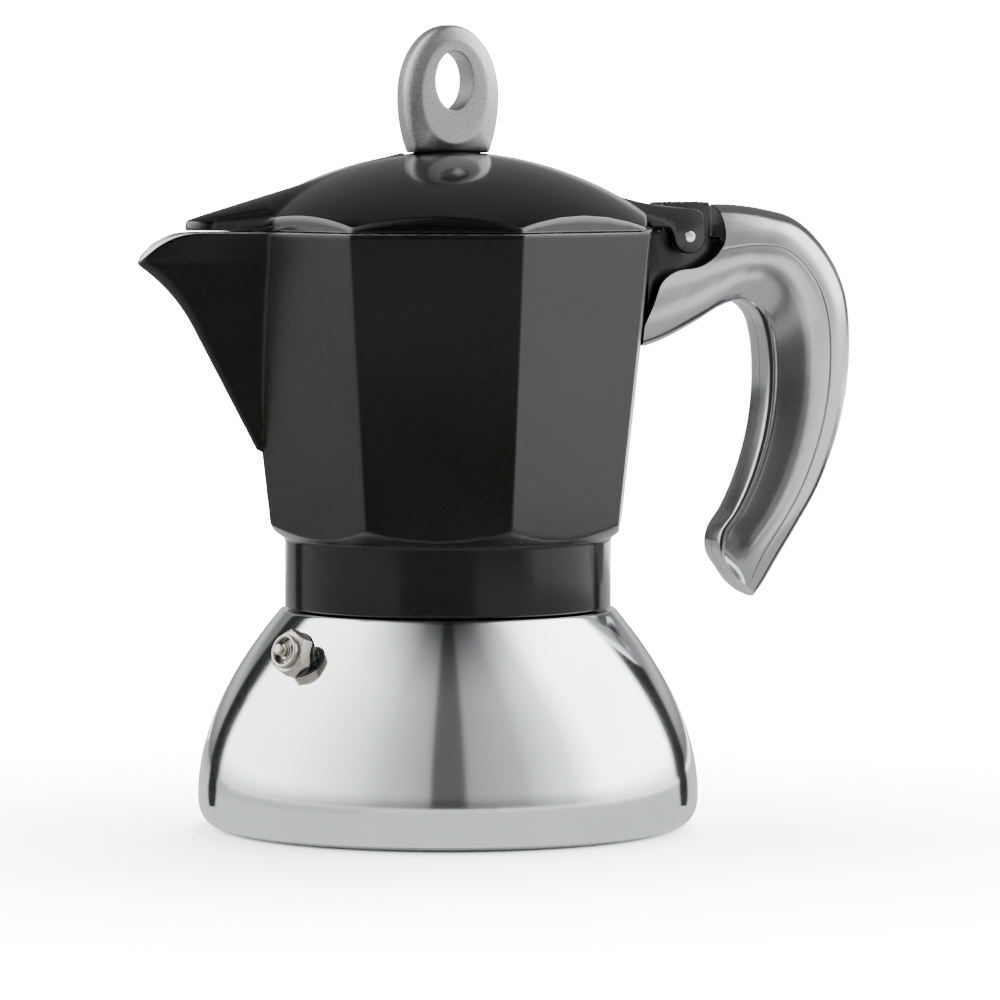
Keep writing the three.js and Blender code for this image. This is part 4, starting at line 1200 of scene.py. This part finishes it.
def add_upright_flag(name, side):
    """A thin black flag whose reflection draws the dark line along the boiler's edge."""
    across = Vector((math.cos(CAMERA_AZIMUTH), math.sin(CAMERA_AZIMUTH), 0))
    back = Vector((-math.sin(CAMERA_AZIMUTH), math.cos(CAMERA_AZIMUTH), 0))
    up = Vector((0, 0, 1))
    right = across * FLAG_RIGHT * side
    centre = right + back * FLAG_BACK
    facing = up.cross(centre - right * 0.42 + back * 17).normalized()
    corners = [centre + facing * s * FLAG_WIDTH / 2 + up * z
               for s, z in ((-1, FLAG_LOW), (1, FLAG_LOW), (1, FLAG_HIGH), (-1, FLAG_HIGH))]
    ahead = facing.cross(up)
    if ahead.dot(centre) > 0:
        ahead = -ahead
    ahead *= FLAG_FOOT
    foot = (corners[0] + corners[1]) / 2 + ahead
    corners += [foot + (corner - foot + ahead) * 0.25 for corner in corners[:2]]
    n = Paint(name)
    n.set(Base_Color=(0.01, 0.01, 0.01, 1), Roughness=1.0, Specular_IOR_Level=0.0)
    add_card(name, [corner * MM for corner in corners], [(0, 1, 2, 3), (0, 1, 5, 4)], n.material)


def add_back_light():
    """A soft lamp high behind the pot, which throws its shadow towards the camera."""
    azimuth, elevation, distance, size = CAMERA_AZIMUTH + math.radians(165), 1.0, 1.3, 0.7
    back = Vector((math.sin(azimuth) * math.cos(elevation),
                   -math.cos(azimuth) * math.cos(elevation), math.sin(elevation)))
    data = bpy.data.lights.new("back_light", "AREA")
    data.size = size
    data.energy = 34
    lamp = placed("back_light", data)
    lamp.location = back * distance
    lamp.rotation_mode = "QUATERNION"
    lamp.rotation_quaternion = back.to_track_quat("Z", "Y")
    lamp.visible_glossy = False


# Studio light by direction: degrees round from the camera towards the handle, radiance.
AROUND = [(-180, 1.1), (-160, 1.0), (-147, 0.75), (-145, 0.04), (-133, 0.05), (-129, 6),
          (-95, 5.5), (-60, 3.2), (-30, 1.2), (-9, 0.7), (-7, 0.17), (7, 0.17), (10, 0.6),
          (35, 0.9), (60, 2.6), (80, 8), (128, 9), (132, 0.05), (144, 0.04), (147, 0.75),
          (160, 1.0), (180, 1.1)]
BRIGHTEST = 10.0
WHITE = 24.0  # radiance of the white background that the camera sees
FLOOR_BOOST_AND_PAINTED_SHADE = (2.6, 9.0)  # beside the pot, where the lower value paints a shadow round the base, and far from it


def light_scene():
    """The studio's light by direction, and plain white behind the pot for the camera."""
    world = bpy.data.worlds.new("studio")
    world.use_nodes = True
    bpy.context.scene.world = world
    world.node_tree.nodes.clear()
    n = Nodes(world.node_tree)

    def maths(operation, *values):
        node = n.add("ShaderNodeMath", operation=operation)
        for socket, value in zip(node.inputs, values):
            if isinstance(value, (int, float)):
                socket.default_value = value
            else:
                n.link(value, socket)
        return node.outputs["Value"]

    def smooth(angle, first, last, low, high):
        """Changes from low to high between two angles in degrees."""
        return n.ramp(angle, low, high, (math.radians(first), math.radians(last)), "SMOOTHSTEP")

    turn = n.add("ShaderNodeMapping")
    n.fill(turn, Rotation=(0, 0, -CAMERA_AZIMUTH))
    n.link(n.add("ShaderNodeTexCoord").outputs["Generated"], turn.inputs["Vector"])
    split = n.add("ShaderNodeSeparateXYZ")
    n.link(turn.outputs["Vector"], split.inputs["Vector"])
    x, y, z = split.outputs
    around = maths("ARCTAN2", x, maths("MULTIPLY", y, -1.0))
    pattern = n.add("ShaderNodeValToRGB")
    stops = pattern.color_ramp.elements
    for angle, radiance in AROUND:
        place = angle / 360 + 0.5
        stop = {0.0: stops[0], 1.0: stops[-1]}.get(place) or stops.new(place)
        tone = radiance / BRIGHTEST
        stop.color = (tone, tone, tone, 1)
    n.link(maths("MULTIPLY_ADD", around, 1 / TURN, 0.5), pattern.inputs["Fac"])
    height = maths("ARCSINE", z)
    fade = n.add("ShaderNodeMix")
    n.link(smooth(maths("ABSOLUTE", around), 125, 155, 0, 1), fade.inputs["Factor"])
    n.link(smooth(height, 48, 80, 1, 0.04), fade.inputs[2])  # in front and beside
    n.link(smooth(height, 8, 16, 1, 0.32), fade.inputs[3])  # behind
    horizon = smooth(height, 0, 9, 0.35, 1)
    lit = maths("MULTIPLY", maths("MULTIPLY", pattern.outputs["Color"], fade.outputs[0]),
                maths("MULTIPLY", horizon, BRIGHTEST))
    seen, studio = n.add("ShaderNodeBackground"), n.add("ShaderNodeBackground")
    n.fill(seen, Strength=WHITE)
    n.link(lit, studio.inputs["Strength"])
    n.link(n.mixed(n.camera_ray(), studio.outputs["Background"], seen.outputs["Background"]),
           n.add("ShaderNodeOutputWorld").inputs["Surface"])


# Level cards: degrees round from -Y, distances from the axis and height in metres, radiance.
CARDS = {
    "front_flag_near": ((-52, 32), (0.17, 0.26), 0.032, 0.11),
    "collar_flag": ((-52, 32), (0.26, 0.41), 0.032, 1.0),
    "front_flag_far": ((-52, 2), (0.41, 5.5), 0.032, 0.05),
    "spout_flag": ((-48, -4), (0.085, 0.17), 0.0321, 0.2),
    "foot_card_left": ((-179.9, 0), (0.0475, 0.6), 0.0005, 0.95),
    "foot_card_right": ((0, 179.9), (0.0475, 0.6), 0.0005, 0.95),
    "left_card": ((-150, -53), (0.14, 0.85), 0.0006, 0.8),
    "inner_card": ((-178, -138), (0.3, 5.5), 0.0031, 0.7),
    "right_card": ((38, 92), (0.14, 0.6), 0.032, 2.2),
    "handle_card": ((3, 85), (0.62, 5.5), 0.003, 2.6),
}

CAMERA_AZIMUTH = math.radians(-19.5)
CAMERA_DISTANCE = 1.270
CAMERA_HEIGHT = 0.145
CAMERA_AIM = (0.0104, 0.0652)  # right of the axis, above the base
CAMERA_LENS = 229.5


def add_camera():
    data = bpy.data.cameras.new("camera")
    data.lens = CAMERA_LENS
    data.sensor_width = 36
    data.clip_end = 100
    camera = placed("camera", data)
    a = CAMERA_AZIMUTH
    camera.location = (math.sin(a) * CAMERA_DISTANCE, -math.cos(a) * CAMERA_DISTANCE,
                       CAMERA_HEIGHT)
    aim = Vector((math.cos(a) * CAMERA_AIM[0], math.sin(a) * CAMERA_AIM[0], CAMERA_AIM[1]))
    look = aim - camera.location
    camera.rotation_mode = "QUATERNION"
    camera.rotation_quaternion = look.to_track_quat("-Z", "Y")
    bpy.context.scene.camera = camera


add_camera()
build_boiler()
build_valve()
build_collector()
build_column()
build_lug()
build_lid()
build_ears()
build_hinge_pin()
build_knob()
build_handle()
build_screws()
dress_carried_nodes()
add_floor()
light_scene()
for name, card in CARDS.items():
    add_flat_card(name, *card)
for side in (-1, 1):
    add_upright_flag(f"edge_flag_{side + 2}", side)
add_back_light()
